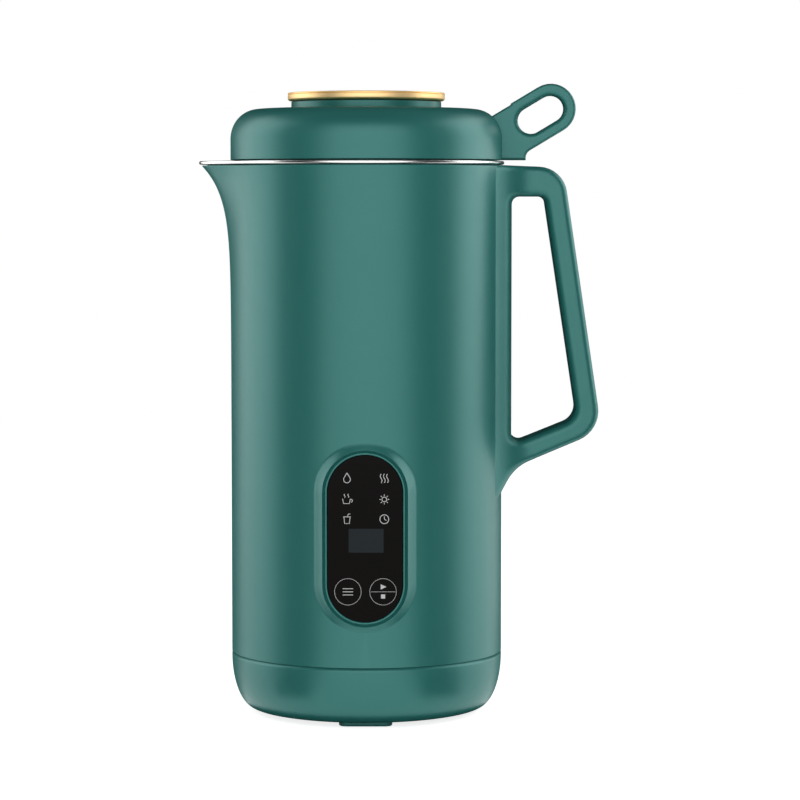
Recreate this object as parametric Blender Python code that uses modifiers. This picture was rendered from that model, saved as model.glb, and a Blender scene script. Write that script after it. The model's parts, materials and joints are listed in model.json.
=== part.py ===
"""Nut milk maker: a jug with a heated steel cup, a motor in its base, a spout, a handle and a lift-off lid.

Lengths are metres and +Z is up. Most pieces are drawn about the jug's own axis, and three empties carry
them: one for the fixed pieces, one for the rotor and one for the lid. The empties shift the jug along X,
so that the world origin lies on the table, under the middle of spout and handle together.
"""

import math

import bmesh
import bpy
from mathutils import Matrix, Vector

# Fits and mesh settings
FIT_GAP = 0.0003
RUNNING_GAP = 0.0001
OVERRUN = 0.0020
WELD = 0.00001
BODY_STEPS = 60
RING_STEPS = 40
DISC_STEPS = 24
SMALL_STEPS = 12
HEX_STEPS = 6
CORNER_STEPS = 4
EDGE_STEPS = 1
SMOOTH_ANGLE = math.radians(35)

# Jug shell
BODY_RADIUS = 0.0540
BODY_WALL = 0.0022
BODY_EDGE = 0.0008
TABLE_CLEARANCE = 0.0027
BASE_FLOOR = 0.0022
BASE_COVER_HEIGHT = 0.0217
BASE_CORNER_WIDTH = 0.0090
BASE_CORNER_HEIGHT = 0.0210
BASE_CORNER_POINTS = 5
LIP_WALL = 0.0015
LIP_RISE = 0.0029
LIP_ROOT = 0.0040
BASE_Z = TABLE_CLEARANCE
BASE_FLOOR_TOP = BASE_Z + BASE_FLOOR
SEAM_Z = BASE_Z + BASE_COVER_HEIGHT
COVER_TOP = SEAM_Z - FIT_GAP / 2
SHELL_FOOT = SEAM_Z + FIT_GAP / 2
BODY_INNER_RADIUS = BODY_RADIUS - BODY_WALL

# Feet and cooling slots
FOOT_LENGTH = 0.0208
FOOT_WIDTH = 0.0070
FOOT_INSET = 0.0145
FOOT_CORNER = 0.0030
FOOT_EDGE = 0.0006
FOOT_ANGLES = (270, 30, 150)
FOOT_RING_RADIUS = BODY_RADIUS - FOOT_INSET
VENT_LENGTH = 0.0260
VENT_WIDTH = 0.0024
VENT_PITCH = 0.0065
VENT_COUNT = 5

# Case screws and their posts
POST_INSET = 0.0130
POST_RADIUS = 0.0038
POST_HEIGHT = 0.0095
POST_ANGLES = (90, 210, 330)
RIB_WIDTH = 0.0022
SCREW_HOLE_RADIUS = 0.0018
SCREW_SHANK_RADIUS = 0.0015
SCREW_HEAD_RADIUS = 0.0029
SCREW_HEAD_HEIGHT = 0.0020
SCREW_HEAD_SINK = 0.0035
SCREW_HEAD_HOLE_RADIUS = SCREW_HEAD_RADIUS + FIT_GAP
POST_RING_RADIUS = BODY_RADIUS - POST_INSET

# Motor, from its lower end upwards
SHAFT_RADIUS = 0.0025
SHAFT_CLEARANCE = 0.0031
FAN_HUB_RADIUS = 0.0050
FAN_RADIUS = 0.0220
FAN_HEIGHT = 0.0057
FAN_DISC = 0.0010
FAN_BLADE = 0.0012
FAN_BLADE_COUNT = 7
FAN_BLADE_LEAN = 25
HUB_GAP = 0.0013
HUB_RADIUS = 0.0102
LOWER_HUB_HEIGHT = 0.0070
UPPER_HUB_HEIGHT = 0.0057
BEARING_RADIUS = 0.0080
BEARING_LENGTH = 0.0050
BAR_THICKNESS = 0.0030
BAR_WIDTH = 0.0140
LEG_THICKNESS = 0.0028
COMMUTATOR_GAP = 0.0010
COMMUTATOR_RADIUS = 0.0095
COMMUTATOR_LENGTH = 0.0085
COMMUTATOR_SLOT = 0.0008
COMMUTATOR_SLOT_DEPTH = 0.0012
COMMUTATOR_BARS = 12
STACK_OVER_COMMUTATOR = 0.0080
STACK_LENGTH = 0.0180
STACK_RADIUS = 0.0270
AIR_GAP = 0.0004
ARMATURE_RADIUS = 0.0146
ARMATURE_SLOT_WIDTH = 0.0030
ARMATURE_SLOT_DEPTH = 0.0050
ARMATURE_SLOTS = 8
WINDING_RADIUS = 0.0113
WINDING_OVERHANG = 0.0035
WINDING_CORE_RADIUS = 0.0045
COIL_WIRE = 0.0050
COIL_CORNER = 0.0020
COIL_INNER_CORNER = 0.0010
COIL_OVERHANG = 0.0060
COIL_OFFSET = 0.0145
UPPER_LEG = 0.0065
BRUSH_WIDTH = 0.0050
BRUSH_HEIGHT = 0.0060
BRUSH_LENGTH = 0.0110
BRUSH_GUIDE_WALL = 0.0013
CHASSIS_THICKNESS = 0.0030
CHASSIS_BORE = 0.0088
CHASSIS_SKIRT = 0.0060
CHASSIS_SKIRT_WALL = 0.0020

SHAFT_FOOT = BASE_FLOOR_TOP + SHAFT_CLEARANCE
LOWER_HUB_Z = SHAFT_FOOT + FAN_HEIGHT + HUB_GAP
LOWER_BAR_TOP = LOWER_HUB_Z + LOWER_HUB_HEIGHT
COMMUTATOR_Z = LOWER_BAR_TOP + COMMUTATOR_GAP
COMMUTATOR_TOP = COMMUTATOR_Z + COMMUTATOR_LENGTH
STACK_Z = COMMUTATOR_TOP + STACK_OVER_COMMUTATOR
STACK_TOP = STACK_Z + STACK_LENGTH
UPPER_BAR_Z = STACK_TOP + UPPER_LEG
UPPER_BAR_TOP = UPPER_BAR_Z + BAR_THICKNESS
CHASSIS_Z = UPPER_BAR_TOP + FIT_GAP
CHASSIS_TOP = CHASSIS_Z + CHASSIS_THICKNESS
STATOR_BORE = ARMATURE_RADIUS + AIR_GAP

# Steel cup
CUP_WALL = 0.0008
CUP_DEPTH = 0.1388
CUP_INSET = 0.0060
CUP_TAPER = 0.0035
CUP_CORNER = 0.0065
CUP_STRAIGHT = 0.0180
RIM_OVERHANG = 0.0009
RIM_THICKNESS = 0.0014
RIM_EDGE = 0.0005
CUP_RADIUS = BODY_RADIUS - CUP_INSET
CUP_LOW_RADIUS = CUP_RADIUS - CUP_TAPER
RIM_RADIUS = BODY_RADIUS + RIM_OVERHANG

# Heater under the cup
HEATER_CLEARANCE = 0.0010
HEATER_TUBE_RADIUS = 0.0034
HEATER_RING_INSET = 0.0060
HEATER_ARC = 320
HEATER_ARC_POINTS = 20
HEATER_PLATE = 0.0015
HEATER_PLATE_INSET = 0.0065
HEATER_PLATE_BORE = 0.0135
SENSOR_RADIUS = 0.0038
SENSOR_LENGTH = 0.0060
SENSOR_INSET = 0.0115
SENSOR_ANGLE = 200
HEATER_PLATE_RADIUS = CUP_LOW_RADIUS - HEATER_PLATE_INSET
HEATER_RING_RADIUS = HEATER_PLATE_RADIUS - HEATER_RING_INSET
SENSOR_RING_RADIUS = HEATER_RING_RADIUS - SENSOR_INSET
HEATER_TUBE_Z = CHASSIS_TOP + HEATER_CLEARANCE + HEATER_TUBE_RADIUS
HEATER_PLATE_Z = HEATER_TUBE_Z + HEATER_TUBE_RADIUS + FIT_GAP
HEATER_PLATE_TOP = HEATER_PLATE_Z + HEATER_PLATE

# Heights of the cup
CUP_Z = HEATER_PLATE_TOP + FIT_GAP
CUP_FLOOR_TOP = CUP_Z + CUP_WALL
RIM_TOP = CUP_FLOOR_TOP + CUP_DEPTH
RIM_Z = RIM_TOP - RIM_THICKNESS
SHELL_TOP = RIM_Z - FIT_GAP

# Spout
SPOUT_REACH = 0.0117
SPOUT_LIP_GAIN = 0.0026
SPOUT_FADE = 0.0120
SPOUT_SPREAD = math.radians(9.7)
WALL_HEIGHT_SHARES = (0.030, 0.070, 0.130, 0.250)

# Blade and its seat in the cup floor
SEAT_FLANGE_RADIUS = 0.0120
SEAT_FLANGE = 0.0014
SEAT_RISE = 0.0050
SEAT_NECK_RADIUS = 0.0070
SEAT_NECK_LENGTH = 0.0080
SEAT_TOP_RADIUS = 0.0066
SEAT_BORE = 0.0046
SEAT_NUT_RADIUS = 0.0112
SEAT_NUT_HEIGHT = 0.0042
SEAL_LENGTH = 0.0035
BLADE_GAP = 0.0010
BLADE_THICKNESS = 0.0012
BLADE_SPAN = 0.0235
BLADE_WIDTH = 0.0080
BLADE_TIP_SHARE = 0.45
BLADE_BEND_SHARE = 0.40
BLADE_LOWER_RISE = -16
BLADE_UPPER_RISE = 28
BLADE_NUT_RADIUS = 0.0046
BLADE_NUT_HEIGHT = 0.0045
SHAFT_THREAD = 0.0036
SEAT_Z = CUP_FLOOR_TOP + FIT_GAP
SEAT_TOP = SEAT_Z + SEAT_FLANGE + SEAT_RISE
BLADE_Z = SEAT_TOP + BLADE_GAP
BLADE_NUT_Z = BLADE_Z + 2 * (BLADE_THICKNESS + FIT_GAP)
SHAFT_TOP = BLADE_NUT_Z + SHAFT_THREAD

# Control panel
PANEL_Z = 0.0748
LENS_WIDTH = 0.0290
LENS_HEIGHT = 0.0644
LENS_THICKNESS = 0.0018
LENS_SINK = 0.0002
LENS_EDGE = 0.0003
PANEL_STEPS = 8
BOSS_STAND = 0.0015
BOSS_RING = 0.0016
BOSS_FLANK = 0.0044
BOSS_FLANK_DROP = 0.0060
BOSS_FLANK_SHARES = ((0, 0), (0.10, 0.04), (0.40, 0.42), (0.65, 0.78), (1, 1))
BOSS_ROOT_DEPTH = 0.0030
WINDOW_WIDTH = 0.0215
WINDOW_HEIGHT = 0.0600
DISPLAY_WIDTH = 0.0134
DISPLAY_HEIGHT = 0.0094
DISPLAY_DROP = 0.0008
BOARD_THICKNESS = 0.0016
TOUCH_BOARD_HEIGHT = 0.0620
TOUCH_BOARD_BEHIND_LENS = 0.0035
KEY_SPACING = 0.0134
KEY_DROP = 0.0201
SPRING_RADIUS = 0.0030
SPRING_WIRE = 0.0004
SPRING_TURNS = 3
SPRING_POINTS_PER_TURN = 8

# Power board and mains inlet
POWER_BOARD_INSET = 0.0130
POWER_BOARD_WIDTH = 0.0380
POWER_BOARD_HEIGHT = 0.0300
RELAY_SIZE = (0.0100, 0.0160, 0.0120)
RELAY_Y = -0.0080
RELAY_DROP = 0.0180
CAPACITOR_RADIUS = 0.0045
CAPACITOR_LENGTH = 0.0090
CAPACITOR_Y = 0.0100
CAPACITOR_DROP = 0.0160
INLET_Z = 0.0460
INLET_FLANGE_WIDTH = 0.0300
INLET_FLANGE_HEIGHT = 0.0226
INLET_FLANGE = 0.0020
INLET_CORNER = 0.0030
INLET_BODY_WIDTH = 0.0270
INLET_BODY_HEIGHT = 0.0196
INLET_BODY_DEPTH = 0.0130
INLET_SOCKET_WIDTH = 0.0242
INLET_SOCKET_HEIGHT = 0.0166
INLET_SOCKET_DEPTH = 0.0125
INLET_PIN_WIDTH = 0.0020
INLET_PIN_HEIGHT = 0.0040
INLET_PIN_LENGTH = 0.0090
INLET_PIN_SPACING = 0.0070
INLET_EARTH_RISE = 0.0040
INLET_BOSS_MARGIN = 0.0045
POWER_BOARD_X = POWER_BOARD_INSET - BODY_RADIUS

# Handle; a reach runs out from the jug's wall and a drop runs down from the rim
HANDLE_DEPTH = 0.0200
HANDLE_EDGE = 0.0026
HANDLE_ROOT_SINK = 0.0040
HANDLE_TOP_DROP = 0.0023
HANDLE_TOP_REACH = 0.0241
HANDLE_TOP_CORNER = 0.0115
HANDLE_HEEL_DROP = 0.1221
HANDLE_HEEL_REACH = 0.0050
HANDLE_HEEL_CURVE = 0.0180
HANDLE_LOW_RISE = 0.0144
HANDLE_LOW_REACH = 0.0399
HANDLE_LOW_CORNER = 0.0115
HANDLE_FOOT_LENGTH = 0.0159
HANDLE_STAND = 0.0384
GRIP_REACH = 0.0036
GRIP_TOP_BAND = 0.0118
GRIP_OUTER_TOP_BAND = 0.0074
GRIP_OUTER_LOW_BAND = 0.0100
GRIP_LOW_BAND = 0.0057
GRIP_HEEL_BAND = 0.0095
GRIP_TOP_LEFT_CORNER = 0.0030
GRIP_TOP_CORNER = 0.0025
GRIP_LOW_CORNER = 0.0070
GRIP_HEEL_CORNER = 0.0033
FLARE_END_REACH = 0.0074
FLARE_LENGTH = 0.0125
FLARE_HEIGHT = 0.0178
FLARE_SWEEP = 60
FLARE_STEP = 0.0025
HANDLE_SCREW_LENGTH = 0.0100
HANDLE_SCREW_HEAD = 0.0018
HANDLE_SCREW_UPPER_STEP = 0.0093
HANDLE_SCREW_LOWER_STEP = 0.0055
REED_RADIUS = 0.0015
REED_LENGTH = 0.0110
REED_STEP = 0.0053
HANDLE_ROOT_X = BODY_RADIUS - HANDLE_ROOT_SINK
HANDLE_TOP_X = BODY_RADIUS + HANDLE_TOP_REACH
HANDLE_LOW_X = BODY_RADIUS + HANDLE_LOW_REACH
HANDLE_HEEL_X = BODY_RADIUS + HANDLE_HEEL_REACH
HANDLE_LOW_DROP = HANDLE_HEEL_DROP - HANDLE_LOW_RISE
HANDLE_FOOT_DROP = HANDLE_HEEL_DROP + HANDLE_FOOT_LENGTH
GRIP_LEFT_X = BODY_RADIUS + GRIP_REACH
GRIP_TOP_X = HANDLE_TOP_X - GRIP_OUTER_TOP_BAND
GRIP_LOW_X = HANDLE_LOW_X - GRIP_OUTER_LOW_BAND
GRIP_TOP_DROP = HANDLE_TOP_DROP + GRIP_TOP_BAND
GRIP_LOW_DROP = HANDLE_LOW_DROP - GRIP_LOW_BAND
GRIP_HEEL_DROP = HANDLE_HEEL_DROP - GRIP_HEEL_BAND
FLARE_END_X = BODY_RADIUS + FLARE_END_REACH
FLARE_TOP_DROP = HANDLE_TOP_DROP + FLARE_STEP
HANDLE_SCREW_DROPS = (
    HANDLE_TOP_DROP + HANDLE_SCREW_UPPER_STEP,
    HANDLE_HEEL_DROP - HANDLE_SCREW_LOWER_STEP,
)
REED_DROP = HANDLE_TOP_DROP + REED_STEP

# Lid
LID_GAP = 0.0004
LID_HEIGHT = 0.0201
LID_WALL = 0.0022
LID_CORNER_WIDTH = 0.0110
LID_CORNER_HEIGHT = 0.0118
LID_CORNER_POINTS = 5
LID_BOSS_RADIUS = 0.0070
LINER_FLANGE = 0.0020
LINER_WALL = 0.0016
LINER_COLLAR_GAP = 0.0008
LINER_PLUG_GAP = 0.0028
LINER_DEPTH = 0.0175
LINER_FLANGE_RISE = 0.0020
SEAL_GROOVE_DEPTH = 0.0012
SEAL_GROOVE_HEIGHT = 0.0060
SEAL_GROOVE_DROP = 0.0118
SEAL_SQUEEZE_GAP = 0.0003
STRAINER_SLOTS = 7
STRAINER_SLOT_WIDTH = 0.0016
STRAINER_SLOT_HEIGHT = 0.0050
STRAINER_PITCH = 0.0036
STRAINER_DROP = 0.0150
LID_BOLT_RADIUS = 0.0025
LID_BOLT_HEAD_RADIUS = 0.0050
LID_BOLT_HEAD = 0.0022
LID_BOLT_COVER = 0.0010
NECK_RADIUS = 0.0298
NECK_HEIGHT = 0.0030
TRIM_OVERHANG = 0.0014
TRIM_HEIGHT = 0.0032
TRIM_WALL = 0.0028
TRIM_FLOOR = 0.0012
TRIM_EDGE = 0.0005
INSERT_STAND = 0.0002
LOOP_TILT = 30.9
LOOP_REACH = 0.0192
LOOP_RISE = 0.0207
LOOP_END_RADIUS = 0.0100
LOOP_SLOT_RADIUS = 0.0052
LOOP_SLOT_LENGTH = 0.0092
LOOP_DEPTH = 0.0100
LOOP_EDGE = 0.0012
LOOP_ARM = 0.0300
LOOP_FOOT_REACH = 0.0093
LOOP_FOOT_CURVE = 0.0035
MAGNET_RADIUS = 0.0022
MAGNET_LENGTH = 0.0030
LID_Z = RIM_TOP + LID_GAP
LID_TOP = LID_Z + LID_HEIGHT
LINER_FLANGE_Z = LID_Z + LINER_FLANGE_RISE
LINER_TOP = LINER_FLANGE_Z + LINER_FLANGE
LINER_COLLAR_RADIUS = CUP_RADIUS - LINER_COLLAR_GAP
LINER_PLUG_RADIUS = CUP_RADIUS - LINER_PLUG_GAP
TRIM_RADIUS = NECK_RADIUS + TRIM_OVERHANG
LOOP_X = BODY_RADIUS + LOOP_REACH
LOOP_FOOT_X = BODY_RADIUS + LOOP_FOOT_REACH

# The world origin is midway between the spout tip and the outermost point of the handle
HANDLE_REACH = BODY_RADIUS + HANDLE_STAND
SPOUT_TIP = RIM_RADIUS + SPOUT_REACH
AXIS_X = (SPOUT_TIP - HANDLE_REACH) / 2

# Finishes: base colour, roughness, metallic
GREEN_PLASTIC = ("green_plastic", (0.067, 0.216, 0.199), 0.42, 0.0)
STEEL = ("brushed_steel", (0.62, 0.62, 0.60), 0.28, 1.0)
BRIGHT_STEEL = ("turned_steel", (0.70, 0.70, 0.70), 0.22, 1.0)
GOLD = ("rose_gold", (0.90, 0.55, 0.26), 0.16, 1.0)
BLACK_GLOSS = ("black_gloss", (0.008, 0.006, 0.005), 0.08, 0.0)
BLACK_PLASTIC = ("black_plastic", (0.012, 0.012, 0.013), 0.45, 0.0)
WHITE_PLASTIC = ("white_plastic", (0.75, 0.75, 0.72), 0.45, 0.0)
SILICONE = ("silicone", (0.55, 0.56, 0.54), 0.60, 0.0)
DISPLAY_GREY = ("display_grey", (0.022, 0.030, 0.036), 0.20, 0.0)
BOARD_GREEN = ("circuit_board", (0.02, 0.12, 0.05), 0.40, 0.0)
COPPER = ("copper", (0.72, 0.30, 0.16), 0.35, 1.0)
LAMINATION = ("lamination_steel", (0.24, 0.25, 0.26), 0.50, 1.0)
BRASS = ("brass", (0.75, 0.55, 0.24), 0.30, 1.0)
CARBON = ("carbon", (0.03, 0.03, 0.03), 0.70, 0.0)
ALUMINIUM = ("aluminium", (0.66, 0.67, 0.68), 0.38, 1.0)
GLASS_GREY = ("glass_grey", (0.30, 0.34, 0.33), 0.15, 0.0)


def clear_scene():
    for old in list(bpy.data.objects):
        bpy.data.objects.remove(old)


def new_collection(name):
    made = bpy.data.collections.new(name)
    bpy.context.scene.collection.children.link(made)
    return made


def new_frame(name):
    """An empty on the jug's axis, which carries pieces drawn about that axis."""
    empty = bpy.data.objects.new(name, None)
    empty.location = (AXIS_X, 0, 0)
    PARTS.objects.link(empty)
    return empty


def new_material(finish):
    name, colour, roughness, metallic = finish
    made = bpy.data.materials.get(name)
    if made is None:
        made = bpy.data.materials.new(name)
        made.use_nodes = True
        shader = made.node_tree.nodes["Principled BSDF"]
        shader.inputs["Base Color"].default_value = (*colour, 1)
        shader.inputs["Roughness"].default_value = roughness
        shader.inputs["Metallic"].default_value = metallic
    return made


def add_part(name, mesh, finish, frame):
    mesh.materials.clear()
    mesh.materials.append(new_material(finish))
    mesh.shade_smooth()
    mesh.set_sharp_from_angle(angle=SMOOTH_ANGLE)
    part = bpy.data.objects.new(name, mesh)
    part.parent = frame
    PARTS.objects.link(part)
    return part


def add_tool(name, mesh, frame):
    """A hidden shape that is joined to a part or cut from it."""
    tool = bpy.data.objects.new(name, mesh)
    tool.parent = frame
    tool.hide_render = True
    tool.display_type = "WIRE"
    TOOLS.objects.link(tool)
    return tool


def combine(part, mesh, operation):
    tool = add_tool(f"{part.name}_{operation.lower()}_{len(part.modifiers)}", mesh, part.parent)
    step = part.modifiers.new(operation.title(), "BOOLEAN")
    step.operation = operation
    step.object = tool
    return tool


def cut(part, mesh):
    return combine(part, mesh, "DIFFERENCE")


def join(part, mesh):
    return combine(part, mesh, "UNION")


def mesh_of(thing):
    """The evaluated mesh of a new object, welded; the object itself is removed."""
    bpy.context.scene.collection.objects.link(thing)
    bpy.context.view_layer.update()
    graph = bpy.context.evaluated_depsgraph_get()
    mesh = bpy.data.meshes.new_from_object(thing.evaluated_get(graph))
    bpy.data.objects.remove(thing)
    work = bmesh.new()
    work.from_mesh(mesh)
    bmesh.ops.remove_doubles(work, verts=work.verts, dist=WELD)
    work.to_mesh(mesh)
    work.free()
    return mesh


def spun(points, edges, steps):
    """Points (radius, height) joined by edges and turned about Z, as one mesh."""
    mesh = bpy.data.meshes.new("profile")
    mesh.from_pydata([(radius, 0, height) for radius, height in points], edges, [])
    thing = bpy.data.objects.new("profile", mesh)
    screw = thing.modifiers.new("Screw", "SCREW")
    screw.steps = steps
    screw.render_steps = steps
    screw.use_merge_vertices = True
    screw.merge_threshold = WELD
    return mesh_of(thing)


def turned(profile, steps=RING_STEPS):
    """A profile turned about Z; it runs down its outer side.

    A profile that leaves the axis closed starts and ends at radius 0, and any other is a closed loop.
    """
    edges = [(i, i + 1) for i in range(len(profile) - 1)]
    if profile[0][0] > 0:
        edges.append((len(profile) - 1, 0))
    return spun(profile, edges, steps)


def turned_shell(outside, inside, steps=RING_STEPS):
    """A cup-like wall: the outside ends on the axis and the inside starts there."""
    points = [*outside, *inside]
    edges = [(i, i + 1) for i in range(len(points) - 1) if i != len(outside) - 1]
    edges.append((len(points) - 1, 0))
    return spun(points, edges, steps)


def rod(radius, low, high, steps=SMALL_STEPS):
    """A cylinder about Z between two heights."""
    mesh = bpy.data.meshes.new("rod")
    work = bmesh.new()
    bmesh.ops.create_cone(
        work, cap_ends=True, segments=steps, radius1=radius, radius2=radius, depth=high - low
    )
    bmesh.ops.translate(work, verts=work.verts, vec=(0, 0, (low + high) / 2))
    work.to_mesh(mesh)
    work.free()
    return mesh


def tube(outer, inner, low, high, steps=SMALL_STEPS):
    return turned([(outer, high), (outer, low), (inner, low), (inner, high)], steps)


def block(low, high):
    """A box between two opposite corners."""
    mesh = bpy.data.meshes.new("block")
    work = bmesh.new()
    bmesh.ops.create_cube(work, size=1)
    low = Vector(low)
    high = Vector(high)
    bmesh.ops.scale(work, verts=work.verts, vec=high - low)
    bmesh.ops.translate(work, verts=work.verts, vec=(low + high) / 2)
    work.to_mesh(mesh)
    work.free()
    return mesh


def moved(mesh, offset, turn=0, axis="Z"):
    """The mesh turned by degrees about an axis through the origin, then moved."""
    mesh.transform(Matrix.Translation(offset) @ Matrix.Rotation(math.radians(turn), 4, axis))
    return mesh


def on_ring(radius, degrees, height=0):
    angle = math.radians(degrees)
    return (radius * math.cos(angle), radius * math.sin(angle), height)


def plate(outlines, depth, edge=0):
    """Flat outlines, the first outside and the rest holes, as a plate about z = 0 with rounded edges."""
    curve = bpy.data.curves.new("plate", "CURVE")
    curve.dimensions = "2D"
    curve.fill_mode = "BOTH"
    curve.extrude = depth / 2 - edge
    curve.bevel_depth = edge
    curve.bevel_resolution = EDGE_STEPS
    curve.offset = -edge
    for outline in outlines:
        spline = curve.splines.new("POLY")
        spline.points.add(len(outline) - 1)
        spline.use_cyclic_u = True
        for point, (x, y) in zip(spline.points, outline):
            point.co = (x, y, 0, 1)
    return mesh_of(bpy.data.objects.new("plate", curve))


def upright(mesh):
    """A plate drawn in x and z, stood up so that its depth lies along Y."""
    return moved(mesh, (0, 0, 0), 90, "X")


def wire(points, radius, resolution=2):
    """A round wire through points, with closed ends."""
    curve = bpy.data.curves.new("wire", "CURVE")
    curve.dimensions = "3D"
    curve.bevel_depth = radius
    curve.bevel_resolution = resolution
    curve.use_fill_caps = True
    spline = curve.splines.new("POLY")
    spline.points.add(len(points) - 1)
    for point, place in zip(spline.points, points):
        point.co = (*place, 1)
    return mesh_of(bpy.data.objects.new("wire", curve))


def loft(rings):
    """A closed solid through rings of equal point counts, each ring a list of places."""
    mesh = bpy.data.meshes.new("loft")
    work = bmesh.new()
    rows = [[work.verts.new(place) for place in ring] for ring in rings]
    for row, following in zip(rows, rows[1:]):
        for i in range(len(row)):
            work.faces.new((row[i - 1], row[i], following[i], following[i - 1]))
    work.faces.new(rows[0])
    work.faces.new(rows[-1])
    bmesh.ops.recalc_face_normals(work, faces=work.faces)
    work.to_mesh(mesh)
    work.free()
    return mesh


def filleted(corners, steps=CORNER_STEPS):
    """An outline through corners (x, y, fillet radius)."""
    outline = []
    for i, (x, y, radius) in enumerate(corners):
        here = Vector((x, y))
        if radius == 0:
            outline.append(tuple(here))
            continue
        back = (Vector(corners[i - 1][:2]) - here).normalized()
        ahead = (Vector(corners[(i + 1) % len(corners)][:2]) - here).normalized()
        half = back.angle(ahead) / 2
        centre = here + (back + ahead).normalized() * (radius / math.sin(half))
        first = here + back * (radius / math.tan(half)) - centre
        sweep = (math.pi - 2 * half) * (1 if back.cross(ahead) < 0 else -1)
        for k in range(steps + 1):
            spoke = first.copy()
            spoke.rotate(Matrix.Rotation(sweep * k / steps, 2))
            outline.append(tuple(centre + spoke))
    return [point for i, point in enumerate(outline) if math.dist(point, outline[i - 1]) > WELD]


def stadium(width, height, steps=PANEL_STEPS):
    """An upright outline with two round ends."""
    radius = width / 2
    rise = height / 2 - radius
    outline = []
    for side in (1, -1):
        for k in range(steps + 1):
            angle = math.pi * k / steps + (0 if side > 0 else math.pi)
            outline.append((radius * math.cos(angle), side * rise + radius * math.sin(angle)))
    return outline


def rounded_box(width, height, corner):
    half_width = width / 2
    half_height = height / 2
    return filleted(
        [
            (half_width, half_height, corner),
            (-half_width, half_height, corner),
            (-half_width, -half_height, corner),
            (half_width, -half_height, corner),
        ]
    )


def elliptic_corner(radius, height, width, rise, points, upper):
    """A quarter ellipse that ends at the full radius; height is where it joins the straight side."""
    corner = []
    for k in range(points + 1):
        angle = math.radians(90) * k / points
        reach = radius - width + width * math.cos(angle)
        lift = rise * math.sin(angle)
        corner.append((reach, height + lift if upper else height - lift))
    return corner[::-1] if upper else corner


def spout_pull(height):
    """How far the spout stands out at a height, as a share of its reach at the shell's top edge."""
    return math.exp(-max(0, SHELL_TOP - height) / SPOUT_FADE)


def pull_spout(mesh, inner_reach, outer_reach, inner_radius, outer_radius):
    """Pull a turned wall outwards into the spout; the reach runs from the inner to the outer radius."""
    for vertex in mesh.vertices:
        x, y, z = vertex.co
        radius = math.hypot(x, y)
        if radius < inner_radius - BODY_WALL - CUP_CORNER:
            continue
        share = min(1, max(0, (radius - inner_radius) / (outer_radius - inner_radius)))
        reach = inner_reach + (outer_reach - inner_reach) * share
        angle = math.atan2(y, -x)
        pull = reach * spout_pull(z) / math.cosh(angle / SPOUT_SPREAD)
        vertex.co = (x * (radius + pull) / radius, y * (radius + pull) / radius, z)
    mesh.update()


def wall_heights(low, high):
    """Heights down a wall that the spout bends, closest together near the top."""
    return [high - share * (high - low) for share in WALL_HEIGHT_SHARES]


def make_shell():
    span = (SHELL_FOOT, SHELL_TOP)
    outer = [(BODY_RADIUS, z) for z in wall_heights(*span)]
    inner = [(BODY_INNER_RADIUS, z) for z in wall_heights(*span)]
    profile = [
        (BODY_RADIUS - BODY_EDGE, SHELL_TOP),
        (BODY_RADIUS, SHELL_TOP - BODY_EDGE),
        *outer,
        (BODY_RADIUS, SHELL_FOOT),
        (BODY_INNER_RADIUS, SHELL_FOOT),
        *inner[::-1],
        (BODY_INNER_RADIUS, SHELL_TOP),
    ]
    mesh = turned(profile, BODY_STEPS)
    pull_spout(mesh, SPOUT_REACH, SPOUT_REACH, BODY_INNER_RADIUS, BODY_RADIUS)
    shell = add_part("outer_shell", mesh, GREEN_PLASTIC, BODY)
    add_panel_boss(shell)
    add_inlet_boss(shell)
    add_shell_posts(shell)
    for drop in HANDLE_SCREW_DROPS:
        hole = rod(SCREW_HOLE_RADIUS, BODY_INNER_RADIUS - OVERRUN, BODY_RADIUS + OVERRUN)
        cut(shell, moved(hole, (0, 0, RIM_TOP - drop), 90, "Y"))


def boss_rings(outline_at, middle, side):
    """Rings of a raised flat, from its face down its flank to inside the wall; side is -1 in front."""
    face = BODY_RADIUS + BOSS_STAND
    rings = []
    for out_share, drop_share in BOSS_FLANK_SHARES:
        depth = face - drop_share * BOSS_FLANK_DROP
        outline = outline_at(out_share * BOSS_FLANK)
        rings.append([(x, side * depth, middle + z) for x, z in outline])
    root = face - BOSS_FLANK_DROP - BOSS_ROOT_DEPTH
    rings.append([(x, side * root, middle + z) for x, z in outline_at(BOSS_FLANK)])
    return rings


def add_boss(shell, outline_at, middle, side):
    """A raised flat whose back follows the inside of the wall."""
    boss = join(shell, loft(boss_rings(outline_at, middle, side)))
    hollow = boss.modifiers.new("Hollow", "BOOLEAN")
    hollow.operation = "DIFFERENCE"
    core_radius = BODY_INNER_RADIUS + BODY_WALL / 2
    hollow.object = add_tool(
        f"{boss.name}_core", rod(core_radius, SHELL_FOOT, SHELL_TOP, BODY_STEPS), BODY
    )


def add_panel_boss(shell):
    def outline_at(offset):
        ring = 2 * (BOSS_RING + offset)
        return stadium(LENS_WIDTH + ring, LENS_HEIGHT + ring)

    add_boss(shell, outline_at, PANEL_Z, -1)
    face = BODY_RADIUS + BOSS_STAND
    pocket_depth = LENS_SINK + LENS_THICKNESS + FIT_GAP
    gap = 2 * FIT_GAP
    pocket = upright(plate([stadium(LENS_WIDTH + gap, LENS_HEIGHT + gap)], 2 * pocket_depth))
    cut(shell, moved(pocket, (0, -face, PANEL_Z)))
    window_depth = face - BODY_INNER_RADIUS + LENS_WIDTH / 2
    window = upright(plate([stadium(WINDOW_WIDTH, WINDOW_HEIGHT)], 2 * window_depth))
    cut(shell, moved(window, (0, -face, PANEL_Z)))


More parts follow.
